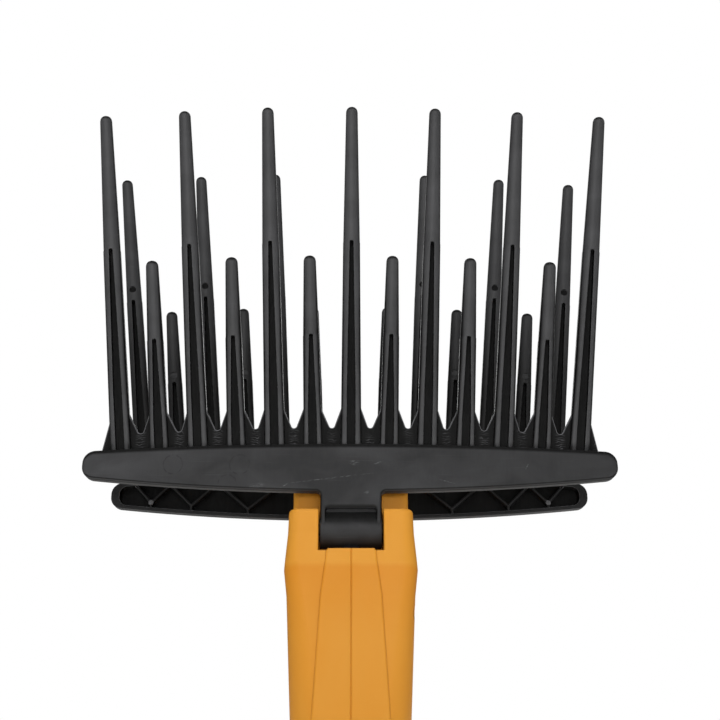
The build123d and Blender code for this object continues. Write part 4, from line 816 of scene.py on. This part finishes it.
def comb_places(add, sizes, coords):
    """Shares from 0 to 1 by which the finish tells the places of a comb apart."""
    x, y, z = add("ShaderNodeSeparateXYZ", {0: coords["Object"]}).outputs
    aside, drawn, up = add("ShaderNodeSeparateXYZ", {0: coords["Normal"]}).outputs
    pin = add("ShaderNodeAttribute", None, "Fac", attribute_name="pin_mark")
    root = HINGE.z + sizes.root_rise
    lean = sin(sizes.tilt)
    curve = (sizes.bar_bottom - sizes.bar_bottom_end) / sizes.bar_half**2

    # Distances from the row's plane, from the hollow's floor, and above the bar's lower edge
    depth = add("ShaderNodeMath", {0: z, 1: lean, 2: y}, 0, operation="MULTIPLY_ADD")
    depth = add("ShaderNodeMath", {0: depth, 1: sizes.plane - root * lean}, 0, operation="ADD")
    floor = add("ShaderNodeMath", {0: y, 1: sizes.bar_outer - sizes.face}, 0, operation="ADD")
    edge = add("ShaderNodeMath", {0: x, 1: x}, 0, operation="MULTIPLY")
    edge = add("ShaderNodeMath", {0: edge, 1: curve, 2: root - sizes.bar_bottom}, 0, operation="MULTIPLY_ADD")
    edge = add("ShaderNodeMath", {0: z, 1: edge}, 0, operation="SUBTRACT")
    depth, floor, aside, facing_out = [
        add("ShaderNodeMath", {0: value}, 0, operation="ABSOLUTE") for value in (depth, floor, aside, drawn)]

    # Tines are rounder higher up, so more of their sides counts as facing out there and escapes the painted
    # shade of the side walls; their upper parts also get a little painted sheen.
    height = add("ShaderNodeMapRange", {
        "Value": z, "From Min": root + 60 * MM, "From Max": root + 150 * MM}, 0)
    wall_start = add("ShaderNodeMath", {0: height, 1: -0.32, 2: 0.92}, 0, operation="MULTIPLY_ADD")
    wall_end = add("ShaderNodeMath", {0: height, 1: -0.4, 2: 0.6}, 0, operation="MULTIPLY_ADD")
    places = {"height": height}
    for name, value, start, end in (
            ("over", z, HINGE.z - 0.3 * sizes.lip, HINGE.z + 0.5 * sizes.lip),
            ("bar", z, root, root - sizes.bar_top_end / 2),
            ("low", z, root + 2 * sizes.notch_rise, root + sizes.notch_rise),
            # Painted light: the bar is drawn paler towards this end.
            ("left_end", x, -100 * MM, -sizes.bar_half),
            ("deep", depth, 2.4 * MM, 1.9 * MM),
            ("floor", floor, 1.0 * MM, 0.6 * MM),
            ("inner", drawn, 0.3, 0.7),
            ("walls", facing_out, wall_start, wall_end),
            ("turned_edge", facing_out, 0.95, 0.8),
            ("slope", facing_out, 0.25, 0.45),
            ("aside", aside, 0.6, 0.9),
            ("not_aside", aside, 0.9, 0.6),
            ("caps", up, 0.04, 0.28),
            ("level", up, -0.85, -0.65),
            ("down", up, -0.65, -0.85),
            ("under", up, -0.8, -0.95),
            ("crease", up, -0.1, -0.3)):
        places[name] = add("ShaderNodeMapRange", {"Value": value, "From Min": start, "From Max": end}, 0)
    for name, value, operation, limit in (
            ("above", z, "GREATER_THAN", root - 1.4 * sizes.bar_top_end),
            ("below", z, "LESS_THAN", root + 1.1 * sizes.web_rise),
            # Painted highlight: 'web' marks the rounded rims of the webs, drawn pale.
            ("web", depth, "LESS_THAN", 1.55 * MM),
            ("sole", edge, "LESS_THAN", sizes.rim)):
        places[name] = add("ShaderNodeMath", {0: value, 1: limit}, 0, operation=operation)
    for name, value, middle, reach in (
            # Painted highlights: the hollow's rounded mouth and the tops of its bosses are drawn pale.
            ("mouth", y, -sizes.bar_inner - 0.25 * MM, 0.3 * MM),
            ("boss", y, -sizes.bar_inner - 0.7 * MM, 0.15 * MM),
            # Painted reflection: the ejector marks are drawn dark on the long tines and pale on the short
            # ones.
            ("dark_pin", pin, 1.0, 0.1),
            ("pale_pin", pin, 2.0, 0.1)):
        places[name] = add("ShaderNodeMath", {0: value, 1: middle, 2: reach}, 0, operation="COMPARE")
    # Painted shade: the inner side gets darker towards the roots, where the other comb shades it.
    places["rim"] = add("ShaderNodeMapRange", {
        "Value": z, "From Min": root + 60 * MM, "From Max": root + 160 * MM, "To Min": 0.8, "To Max": 0.1}, 0)
    # The masks below gather painted shade in 'dark': side walls, faces turned up or down, grooves, webs, the
    # hollow's floor, the inner side, the rounding along the bar's lower edge and the long tines' ejector
    # marks.
    for name, operation, first, *others in (
            ("walls", "MULTIPLY", "walls", "over", "level"),
            ("caps", "MULTIPLY", "caps", "over"),
            ("sole", "MULTIPLY", "sole", "over"),
            ("under", "SUBTRACT", "under", "sole"),
            ("crease", "SUBTRACT", "crease", "down"),
            ("crease", "MULTIPLY", "crease", "sole"),
            # Painted highlight: the bars' undersides near the lower edge are drawn pale.
            ("sole", "MULTIPLY", "sole", "down"),
            ("deep", "MULTIPLY", "deep", "above"),
            ("floor", "MULTIPLY", "floor", "bar", "over"),
            ("rim", "MULTIPLY", "rim", "inner"),
            ("left_end", "MULTIPLY", "left_end", "bar"),
            ("web", "MULTIPLY", "web", "above", "below", "slope", "turned_edge"),
            ("mouth", "MULTIPLY", "mouth", "bar", "turned_edge", "slope"),
            ("boss", "MULTIPLY", "boss", "bar", "inner"),
            ("matt", "MAXIMUM", "deep", "floor", "caps", "under", "dark_pin"),
            ("matt", "MULTIPLY", "matt", "not_aside"),
            ("dark", "MAXIMUM", "matt", "walls", "rim", "crease")):
        share = places[first]
        for other in others:
            share = add("ShaderNodeMath", {0: share, 1: places[other]}, 0, operation=operation,
                        use_clamp=True)
        places[name] = share
    return places


def tool_ripples(add, sizes, coords, places, patterns):
    """Wavy lines of about 1.6 mm on each web, left by the tool that cut the notch's mould insert."""
    spacing = 1.6 * MM
    waviness = 14.0
    x, _, z = add("ShaderNodeSeparateXYZ", {0: coords["Object"]}).outputs
    gap = add("ShaderNodeMath", {0: x, 1: sizes.pitch}, 0, operation="DIVIDE")
    gap = add("ShaderNodeMath", {0: gap}, 0, operation="FRACT")
    gap = add("ShaderNodeMath", {0: gap, 1: 0.5}, 0, operation="SUBTRACT")
    gap = add("ShaderNodeMath", {0: gap}, 0, operation="ABSOLUTE")
    gap = add("ShaderNodeMapRange", {"Value": gap, "From Min": 0.15, "From Max": 0.05}, 0)
    patch = add("ShaderNodeMapRange", {"Value": patterns["cloud"], "From Min": 0.38, "From Max": 0.58}, 0)
    ripple = add("ShaderNodeMath", {0: patterns["bend"], 1: waviness}, 0, operation="MULTIPLY")
    ripple = add("ShaderNodeMath", {0: z, 1: 2 * pi / spacing, 2: ripple}, 0, operation="MULTIPLY_ADD")
    ripple = add("ShaderNodeMath", {0: ripple}, 0, operation="SINE")
    ripple = add("ShaderNodeMapRange", {"Value": ripple, "From Min": 0.45, "From Max": 1.0}, 0)
    for share in (gap, places["low"], places["deep"], patch):
        ripple = add("ShaderNodeMath", {0: ripple, 1: share}, 0, operation="MULTIPLY")
    return ripple


def bar_scuffs(add, sizes, coords, patterns):
    """Scuffs and scratches on the bars' faces, broken up into flecks."""
    reach = 2 * MM
    worn = 0.0
    for along, height, half_length, half_width, rise in SCUFFS:
        spot = add("ShaderNodeMapping", {
            "Vector": coords["Object"], "Location": (along * MM, -sizes.bar_outer, HINGE.z + height * MM),
            "Rotation": (0, -radians(rise), 0), "Scale": (half_length * MM, reach, half_width * MM)}, 0,
            vector_type="TEXTURE")
        spot = add("ShaderNodeTexGradient", {"Vector": spot}, "Fac", gradient_type="SPHERICAL")
        worn = add("ShaderNodeMath", {0: worn, 1: spot}, 0, operation="ADD")
    flecks = add("ShaderNodeMapRange", {"Value": patterns["flecks"], "From Min": 0.42, "From Max": 0.72}, 0)
    return add("ShaderNodeMath", {0: worn, 1: flecks}, 0, operation="MULTIPLY")


def insert_rings(add, sizes, coords, patterns):
    """Broken witness rings of the mould's round inserts on the bars' faces."""
    line = 0.6 * MM
    ring = 0.0
    for along, height, radius in RINGS:
        middle = (along * MM, -sizes.bar_outer, HINGE.z + height * MM)
        span = add("ShaderNodeVectorMath", {0: coords["Object"], 1: middle}, "Value", operation="DISTANCE")
        span = add("ShaderNodeMath", {0: span, 1: radius * MM}, 0, operation="SUBTRACT")
        span = add("ShaderNodeMath", {0: span}, 0, operation="ABSOLUTE")
        span = add("ShaderNodeMapRange", {"Value": span, "From Min": line, "From Max": 0.0}, 0)
        ring = add("ShaderNodeMath", {0: ring, 1: span}, 0, operation="MAXIMUM")
    broken = add("ShaderNodeMapRange", {"Value": patterns["flow"], "From Min": 0.45, "From Max": 0.60}, 0)
    return add("ShaderNodeMath", {0: ring, 1: broken}, 0, operation="MULTIPLY")


def moulded_nylon(finishes, sizes):
    """Black glass-filled nylon, injection moulded."""
    # Faces that look along the draw are satin: they spread the light into a soft grey sheen with flow clouds,
    # scuffs and scratches. Grooves, webs and hollows are matt, and the side walls are smoother. Painted shade
    # darkens the grooves, webs, hollows and side walls, the faces turned up or down, the inner side towards
    # the roots and the rounding along the bars' lower edges. Painted highlights pale the rims of the webs and
    # of the hollow, the hollow's small bosses, the bars' undersides, one end of each bar and the upper tines.
    # The bars are painted darker for their weaker sheen, and the ejector marks dark on the long tines and
    # pale on the short ones, as painted reflection.
    material, tree, output, coords = start_material("glass_filled_nylon_moulded")
    add = partial(node, tree)
    patterns = {}
    for name, (lengths, detail, distortion, turn) in NYLON_PATTERNS.items():
        spread = add("ShaderNodeMapping", {
            "Vector": coords["Object"], "Rotation": (0, turn, 0), "Scale": per_metre(*lengths)}, 0)
        patterns[name] = add("ShaderNodeTexNoise", {
            "Vector": spread, "Scale": 1.0, "Detail": detail, "Distortion": distortion}, "Fac")
    places = comb_places(add, sizes, coords)
    ripple = tool_ripples(add, sizes, coords, places, patterns)
    worn = bar_scuffs(add, sizes, coords, patterns)
    ring = insert_rings(add, sizes, coords, patterns)
    hairs = add("ShaderNodeMapRange", {
        "Value": patterns["hairs"], "From Min": 0.74, "From Max": 0.82, "To Max": 0.05}, 0)

    # The pale holds the nylon's own clouds, scuffs, scratches and darker witness rings, and painted light: a
    # glint on the short tines' ejector marks, a paler end of each bar and a paler sheen on the upper tines.
    pale = add("ShaderNodeMapRange", {
        "Value": patterns["cloud"], "From Min": 0.35, "From Max": 0.72, "To Max": 0.10}, 0)
    for share, amount in ((worn, 0.55), (hairs, 1.0), (places["pale_pin"], 0.30), (ring, -0.09),
                          (places["left_end"], 0.12), (places["height"], 0.05)):
        pale = add("ShaderNodeMath", {0: share, 1: amount, 2: pale}, 0, operation="MULTIPLY_ADD")
    # Tool ripples are the nylon's own; the rest is painted highlight on the web rims, the hollow's mouth, its
    # bosses and the bars' undersides.
    marks_and_highlights = 0.0
    for share, amount in ((ripple, 0.32), (places["web"], 0.6), (places["mouth"], 0.5),
                          (places["boss"], 0.45), (places["sole"], 0.06)):
        marks_and_highlights = add("ShaderNodeMath", {0: share, 1: amount, 2: marks_and_highlights}, 0, operation="MULTIPLY_ADD")
    # The bars are painted darker for their weaker sheen, and 'dark' lays the painted shade.
    tone = rgba(finishes.nylon)
    for share, next_tone in ((places["bar"], finishes.nylon_bar_less_sheen), (pale, finishes.nylon_pale),
                             (places["dark"], finishes.nylon_painted_shade), (marks_and_highlights, finishes.nylon_pale)):
        tone = add("ShaderNodeMix", {"Factor": share, "A": tone, "B": rgba(next_tone)}, "Result",
                   data_type="RGBA")
    rough = add("ShaderNodeMapRange", {
        "Value": patterns["flow"], "From Min": 0.3, "From Max": 0.7, "To Min": 0.52, "To Max": 0.62}, 0)
    for share, change in ((places["matt"], 0.28), (places["aside"], -0.30), (places["bar"], 0.04)):
        rough = add("ShaderNodeMath", {0: share, 1: change, 2: rough}, 0, operation="MULTIPLY_ADD")
    relief = patterns["grain"]
    for share, amount in ((ripple, 3.0), (ring, -1.2)):
        relief = add("ShaderNodeMath", {0: share, 1: amount, 2: relief}, 0, operation="MULTIPLY_ADD")
    bump = add("ShaderNodeBump", {"Height": relief, "Strength": 0.12, "Distance": 0.06 * MM}, "Normal")
    surface = add("ShaderNodeBsdfPrincipled", {
        "Base Color": tone, "Roughness": rough, "IOR": 1.53, "Specular IOR Level": 0.28,
        "Normal": bump}, "BSDF")
    tree.links.new(surface, output.inputs["Surface"])
    return material


def moulded_abs(finishes):
    """Orange ABS, injection moulded with a fine spark texture."""
    # An orange with a soft sheen, faint clouds, a fine grain and soft edges. Painted shade darkens the face
    # below the crease, most just under it, and the seam and the steps of the panels beside it.
    crease = HINGE.z - 25.5 * MM
    fork_foot = HINGE.z - 14 * MM
    panel_reach = 30 * MM
    step_shade_strength = 0.55
    material, tree, output, coords = start_material("orange_abs_moulded")
    add = partial(node, tree)
    x, _, z = add("ShaderNodeSeparateXYZ", {0: coords["Object"]}).outputs
    cloud = add("ShaderNodeMapping", {"Vector": coords["Object"], "Scale": per_metre(30, 30, 55)}, 0)
    cloud = add("ShaderNodeTexNoise", {
        "Vector": cloud, "Scale": 1.0, "Detail": 3.0, "Distortion": 0.8}, "Fac")
    cloud = add("ShaderNodeMapRange", {"Value": cloud, "From Min": 0.3, "From Max": 0.7}, 0)
    # The spark texture of about 0.1 mm is drawn at 0.5 mm to show.
    grain = add("ShaderNodeMapping", {"Vector": coords["Object"], "Scale": per_metre(0.5, 0.5, 0.5)}, 0)
    grain = add("ShaderNodeTexNoise", {"Vector": grain, "Scale": 1.0, "Detail": 2.0}, "Fac")

    # Painted shade below the crease, strongest just under it, mixed with the clouds.
    below = add("ShaderNodeMapRange", {
        "Value": z, "From Min": crease + 1.5 * MM, "From Max": crease - 1.5 * MM}, 0)
    fade = add("ShaderNodeMapRange", {
        "Value": z, "From Min": crease - 45 * MM, "From Max": crease - 5 * MM,
        "To Min": 0.2, "To Max": 0.75}, 0)
    shade_and_cloud = add("ShaderNodeMath", {0: below, 1: fade}, 0, operation="MULTIPLY")
    shade_and_cloud = add("ShaderNodeMath", {0: cloud, 1: 0.25, 2: shade_and_cloud}, 0, operation="MULTIPLY_ADD")
    soft = add("ShaderNodeBevel", {"Radius": 1.2 * MM}, "Normal", samples=6)
    flat = add("ShaderNodeNewGeometry", None, "Normal")
    # Painted shade where the rounded normal turns from the true one: on the seam and the steps of the panels
    # beside it, below the fork.
    step_shade = add("ShaderNodeVectorMath", {0: soft, 1: flat}, "Value", operation="DOT_PRODUCT")
    step_shade = add("ShaderNodeMapRange", {"Value": step_shade, "From Min": 0.99, "From Max": 0.85}, 0)
    beside = add("ShaderNodeMath", {0: x}, 0, operation="ABSOLUTE")
    beside = add("ShaderNodeMath", {0: beside, 1: panel_reach}, 0, operation="LESS_THAN")
    under_fork = add("ShaderNodeMath", {0: z, 1: fork_foot}, 0, operation="LESS_THAN")
    for share in (beside, under_fork, step_shade_strength):
        step_shade = add("ShaderNodeMath", {0: step_shade, 1: share}, 0, operation="MULTIPLY")
    tone = rgba(finishes.abs_orange)
    for share, next_tone in ((shade_and_cloud, finishes.abs_shade_and_cloud), (step_shade, finishes.abs_step_shade)):
        tone = add("ShaderNodeMix", {"Factor": share, "A": tone, "B": rgba(next_tone)}, "Result",
                   data_type="RGBA")
    rough = add("ShaderNodeMapRange", {"Value": cloud, "To Min": 0.50, "To Max": 0.58}, 0)
    bump = add("ShaderNodeBump", {
        "Height": grain, "Strength": 0.12, "Distance": 0.05 * MM, "Normal": soft}, "Normal")
    surface = add("ShaderNodeBsdfPrincipled", {
        "Base Color": tone, "Roughness": rough, "IOR": 1.53, "Specular IOR Level": 0.22,
        "Normal": bump}, "BSDF")
    tree.links.new(surface, output.inputs["Surface"])
    return material


def grained(name, tone, shade, lengths, roughness, metallic=1.0, ior=1.5, relief=0.02):
    """A surface with a grain of the given lengths along X, Y and Z, and wear in its roughness."""
    cloud_size = 9
    wear = 0.06
    material, tree, output, coords = start_material(name)
    add = partial(node, tree)
    patterns = []
    for sizes in (lengths, (cloud_size, cloud_size, cloud_size)):
        spread = add("ShaderNodeMapping", {"Vector": coords["Object"], "Scale": per_metre(*sizes)}, 0)
        patterns.append(add("ShaderNodeTexNoise", {"Vector": spread, "Scale": 1.0, "Detail": 3.0}, "Fac"))
    grain, cloud = patterns
    light = add("ShaderNodeMath", {0: grain, 1: cloud}, 0, operation="ADD")
    light = add("ShaderNodeMapRange", {"Value": light, "From Min": 0.7, "From Max": 1.3}, 0)
    dark = rgba([channel * shade for channel in tone])
    tinted = add("ShaderNodeMix", {"Factor": light, "A": dark, "B": rgba(tone)}, "Result", data_type="RGBA")
    rough = add("ShaderNodeMapRange", {
        "Value": cloud, "From Min": 0.3, "From Max": 0.7,
        "To Min": roughness - wear, "To Max": roughness + wear}, 0)
    bump = add("ShaderNodeBump", {"Height": grain, "Strength": 0.3, "Distance": relief * MM}, "Normal")
    surface = add("ShaderNodeBsdfPrincipled", {
        "Base Color": tinted, "Roughness": rough, "Metallic": metallic, "IOR": ior, "Normal": bump}, "BSDF")
    tree.links.new(surface, output.inputs["Surface"])
    return material


def dress(material, *names):
    """Give CAD nodes a material."""
    for name in names:
        slots = NODES[name].data.materials
        slots.clear()
        slots.append(material)


class HARVESTER_OT_housing(bpy.types.Operator):
    """Finish the two halves of the housing and their screws"""

    bl_idname = "harvester.housing"
    bl_label = "Housing"

    def execute(self, context):
        finishes = context.scene.harvester_finishes
        dress(moulded_abs(finishes), "housing_left", "housing_right")
        dress(zinc_plate(finishes), "housing_screws")
        return {"FINISHED"}


class HARVESTER_OT_hinges(bpy.types.Operator):
    """Finish the hinge pins, the bushes and the arms that drive the combs"""

    bl_idname = "harvester.hinges"
    bl_label = "Hinges"

    def execute(self, context):
        finishes = context.scene.harvester_finishes
        dress(black_oxide(finishes), "front_hinge_pin", "rear_hinge_pin", "front_drive_arm", "rear_drive_arm")
        dress(sintered_bronze(finishes), "front_hinge_bushes", "rear_hinge_bushes")
        return {"FINISHED"}


class HARVESTER_OT_drive(bpy.types.Operator):
    """Finish the yokes, their guides, the eccentrics, the bearings and the shaft"""

    bl_idname = "harvester.drive"
    bl_label = "Drive"

    def execute(self, context):
        finishes = context.scene.harvester_finishes
        dress(ground_steel(finishes), "front_yoke_pin", "rear_yoke_pin", "front_eccentric", "rear_eccentric",
              "eccentric_shaft")
        dress(polished_steel(finishes), "front_eccentric_bearing", "rear_eccentric_bearing",
              "upper_shaft_bearing", "lower_shaft_bearing")
        dress(cast_aluminium(finishes), "front_yoke", "rear_yoke", "bearing_bridge")
        dress(moulded_acetal(finishes), "left_guide_rail", "right_guide_rail")
        dress(zinc_plate(finishes), "bridge_screws")
        return {"FINISHED"}


class HARVESTER_OT_gear(bpy.types.Operator):
    """Finish the planetary gear and its case"""

    bl_idname = "harvester.gear"
    bl_label = "Gear"

    def execute(self, context):
        finishes = context.scene.harvester_finishes
        planets = [name for name in NODES if name.startswith("planet_gear")]
        dress(ground_steel(finishes), "sun_pinion", "ring_gear", "planet_pins", "planet_carrier", *planets)
        dress(cast_aluminium(finishes), "gear_case", "gear_case_lid")
        dress(zinc_plate(finishes), "lid_screws")
        return {"FINISHED"}


class HARVESTER_OT_motor(bpy.types.Operator):
    """Finish the motor, its leads and the connector"""

    bl_idname = "harvester.motor"
    bl_label = "Motor"

    def execute(self, context):
        finishes = context.scene.harvester_finishes
        # Drawn and nickel-plated sheet: a satin grey with faint lines along the draw.
        dress(grained("nickel_plated_sheet_drawn", finishes.nickel, 0.86, (1.5, 1.5, 20), 0.32), "motor_can")
        # Sintered ferrite: dull dark grey with a fine speckle.
        dress(grained("ferrite_sintered", finishes.ferrite, 0.7, (0.6, 0.6, 0.6), 0.7, 0.0, 2.0),
              "motor_magnets")
        # Stacked sheets of 0.5 mm: fine dark lines across the axis.
        dress(grained("silicon_steel_laminated", finishes.laminations, 0.6, (30, 30, 0.5), 0.42),
              "motor_rotor")
        # Moulded in a polished mould: plain black with a soft gloss.
        dress(grained("black_nylon_moulded", finishes.motor_plastic, 0.85, (0.7, 0.7, 0.7), 0.45, 0.0, 1.53),
              "motor_end_cap", "lead_connector")
        # Rolled strip: warm yellow with faint lines along the strip.
        dress(grained("brass_strip_rolled", finishes.brass, 0.85, (0.6, 0.6, 12), 0.28), "motor_terminals")
        # Soft extruded insulation: satin red, smooth along the lead.
        dress(grained("pvc_extruded", finishes.lead, 0.85, (1.0, 1.0, 15), 0.5, 0.0, 1.53), "motor_leads")
        dress(zinc_plate(finishes), "motor_screws")
        return {"FINISHED"}


class HARVESTER_OT_pole_fixing(bpy.types.Operator):
    """Finish the socket for the pole and its clamp screws"""

    bl_idname = "harvester.pole_fixing"
    bl_label = "Pole fixing"

    def execute(self, context):
        finishes = context.scene.harvester_finishes
        dress(cast_aluminium(finishes), "pole_socket")
        dress(zinc_plate(finishes), "pole_clamp_screws")
        return {"FINISHED"}


def ground_steel(finishes):
    """Hardened steel, ground."""
    # Bright grey with fine lines round the axis, drawn at 0.4 mm to show.
    return grained("hardened_steel_ground", finishes.steel, 0.85, (12, 12, 0.4), 0.26)


def polished_steel(finishes):
    """Bearing steel, ground and polished."""
    # Nearly a mirror, with a trace of lines round the axis.
    return grained("bearing_steel_polished", finishes.polished_steel, 0.93, (15, 15, 0.5), 0.16, relief=0.005)


def black_oxide(finishes):
    """Steel, hardened and blackened."""
    # Oily blue-black with a satin sheen.
    return grained("steel_black_oxide", finishes.black_oxide, 0.75, (1.2, 1.2, 1.2), 0.40)


def cast_aluminium(finishes):
    """Aluminium, die-cast and bead-blasted."""
    # Even matt grey with a fine grain of about 0.3 mm, drawn at 0.6 mm to show.
    return grained("aluminium_die_cast_blasted", finishes.cast_aluminium, 0.85, (0.6, 0.6, 0.6), 0.48)


def sintered_bronze(finishes):
    """Bronze, sintered and soaked in oil."""
    # Brown with dark pores, drawn at 0.4 mm to show.
    return grained("bronze_sintered", finishes.bronze, 0.6, (0.4, 0.4, 0.4), 0.44)


def zinc_plate(finishes):
    """Steel screws, zinc-plated."""
    # Pale, faintly yellow grey with a soft sparkle.
    return grained("steel_zinc_plated", finishes.zinc, 0.82, (0.8, 0.8, 0.8), 0.34)


def moulded_acetal(finishes):
    """Acetal, injection moulded."""
    # Milky white with a waxy sheen.
    return grained("acetal_moulded", finishes.acetal, 0.95, (4, 4, 4), 0.38, 0.0, 1.48)


# Stage

def pale_floor(studio):
    """Pale paper, rolled out."""
    # The camera and shiny surfaces see it lifted towards white, with the object's shadow on it.
    lift = 0.6
    material, tree, output, _ = start_material("paper_rolled_out")
    add = partial(node, tree)
    path = add("ShaderNodeLightPath").outputs
    seen = path["Is Camera Ray"]
    for kind in ("Is Glossy Ray", "Is Transmission Ray"):
        seen = add("ShaderNodeMath", {0: seen, 1: path[kind]}, 0, operation="MAXIMUM")
    seen = add("ShaderNodeMath", {0: seen, 1: lift}, 0, operation="MULTIPLY")
    paper = add("ShaderNodeBsdfPrincipled", {"Base Color": rgba(studio.floor), "Roughness": 0.7}, "BSDF")
    white = add("ShaderNodeEmission", {"Color": rgba(studio.floor), "Strength": 1.0}, "Emission")
    surface = add("ShaderNodeMixShader", {0: seen, 1: paper, 2: white}, "Shader")
    tree.links.new(surface, output.inputs["Surface"])
    return material


def lay_floor(scene, studio):
    """Floor just below the object."""
    reach = 4.0
    gap = 0.2 * MM
    mesh = bpy.data.meshes.new("floor")
    corners = [(-reach, -reach, 0), (reach, -reach, 0), (reach, reach, 0), (-reach, reach, 0)]
    mesh.from_pydata(corners, [], [(0, 1, 2, 3)])
    mesh.materials.append(pale_floor(studio))
    floor = bpy.data.objects.new("floor", mesh)
    floor.location.z = CAD_BOX[0].z - gap
    scene.collection.objects.link(floor)


def hang_lamps(scene, studio):
    """Soft lamps all round: power, place, width and height in metres, and beam in degrees."""
    # A grid on each lamp near the floor narrows its beam, so that it leaves no pool of light on the floor.
    target = (CAD_BOX[0] + CAD_BOX[1]) / 2
    for name, power, place, width, tall, beam in (
            ("key_light", studio.key, (-0.2, -1.18, 1.08), 0.55, 0.55, 180),
            ("low_light", studio.low, (0.1, -1.2, 0.14), 0.5, 0.2, 90),
            ("left_light", studio.fill, (-1.0, -0.75, 0.27), 0.6, 0.45, 90),
            ("right_light", studio.fill, (1.0, -0.75, 0.27), 0.6, 0.45, 90),
            ("top_light", studio.top, (0.0, -0.15, 1.7), 0.6, 0.6, 180),
            ("back_light", studio.back, (0.2, 1.2, 0.5), 0.9, 0.9, 90)):
        lamp = bpy.data.lights.new(name, "AREA")
        lamp.energy = power
        lamp.shape = "RECTANGLE"
        lamp.size = width
        lamp.size_y = tall
        lamp.spread = radians(beam)
        holder = bpy.data.objects.new(name, lamp)
        holder.location = place
        holder.rotation_euler = (target - holder.location).to_track_quat("-Z", "Y").to_euler()
        scene.collection.objects.link(holder)


def surround(scene, studio):
    """White to the camera, and to shiny surfaces a white backdrop behind the object in a dim room."""
    world = bpy.data.worlds.new("studio")
    scene.world = world
    world.use_nodes = True
    tree = world.node_tree
    tree.nodes.clear()
    add = partial(node, tree)
    path = add("ShaderNodeLightPath").outputs
    direction = add("ShaderNodeTexCoord", None, "Generated")
    behind = add("ShaderNodeVectorMath", {0: direction, 1: studio.backdrop_axis}, "Value",
                 operation="DOT_PRODUCT")
    backdrop = add("ShaderNodeMapRange", {
        "Value": behind, "From Min": cos(studio.backdrop_reach), "From Max": 1.0,
        "To Min": studio.room, "To Max": 1.0}, 0, interpolation_type="SMOOTHSTEP")
    mirrored = add("ShaderNodeMath", {0: path["Is Glossy Ray"], 1: path["Is Transmission Ray"]}, 0,
                   operation="MAXIMUM")
    strength = studio.ambient
    for share, brightness in ((mirrored, backdrop), (path["Is Camera Ray"], 1.0)):
        strength = add("ShaderNodeMix", {"Factor": share, "A": strength, "B": brightness}, "Result")
    sky = add("ShaderNodeBackground", {"Color": (1, 1, 1, 1), "Strength": strength}, "Background")
    tree.links.new(sky, add("ShaderNodeOutputWorld").inputs["Surface"])


def set_camera(scene, studio):
    """Camera at the photograph's viewing angle."""
    data = bpy.data.cameras.new("camera")
    data.lens = studio.lens
    data.sensor_width = 36.0
    camera = bpy.data.objects.new("camera", data)
    camera.location = studio.camera
    level = cos(studio.pitch)
    forward = Vector((sin(studio.yaw) * level, cos(studio.yaw) * level, sin(studio.pitch)))
    turn = forward.to_track_quat("-Z", "Y").to_matrix() @ Matrix.Rotation(studio.roll, 3, "Z")
    camera.rotation_euler = turn.to_euler()
    scene.collection.objects.link(camera)
    scene.camera = camera
    scene.view_settings.view_transform = "Standard"


class HARVESTER_OT_stage(bpy.types.Operator):
    """Make the floor, the lights, the surroundings and the camera"""

    bl_idname = "harvester.stage"
    bl_label = "Stage"

    def execute(self, context):
        for step in (lay_floor, hang_lamps, surround, set_camera):
            step(context.scene, context.scene.harvester_studio)
        return {"FINISHED"}


class HARVESTER_PT_panel(bpy.types.Panel):
    """Steps of the harvester head"""

    bl_label = "Harvester"
    bl_idname = "HARVESTER_PT_panel"
    bl_space_type = "VIEW_3D"
    bl_region_type = "UI"
    bl_category = "Harvester"

    def draw(self, context):
        for operator in OPERATORS:
            self.layout.operator(operator.bl_idname)


GROUPS = {"harvester_comb": CombSizes, "harvester_finishes": Finishes, "harvester_studio": Studio}
OPERATORS = (HARVESTER_OT_combs, HARVESTER_OT_housing, HARVESTER_OT_hinges, HARVESTER_OT_drive,
             HARVESTER_OT_gear, HARVESTER_OT_motor, HARVESTER_OT_pole_fixing, HARVESTER_OT_stage)
CLASSES = (*GROUPS.values(), *OPERATORS, HARVESTER_PT_panel)


def register():
    for cls in CLASSES:
        bpy.utils.register_class(cls)
    for name, group in GROUPS.items():
        setattr(bpy.types.Scene, name, bpy.props.PointerProperty(type=group))


def unregister():
    for name in GROUPS:
        delattr(bpy.types.Scene, name)
    for cls in reversed(CLASSES):
        bpy.utils.unregister_class(cls)


def main():
    register()
    bpy.ops.harvester.combs()
    bpy.ops.harvester.housing()
    bpy.ops.harvester.hinges()
    bpy.ops.harvester.drive()
    bpy.ops.harvester.gear()
    bpy.ops.harvester.motor()
    bpy.ops.harvester.pole_fixing()
    bpy.ops.harvester.stage()


if __name__ == "__main__":
    main()
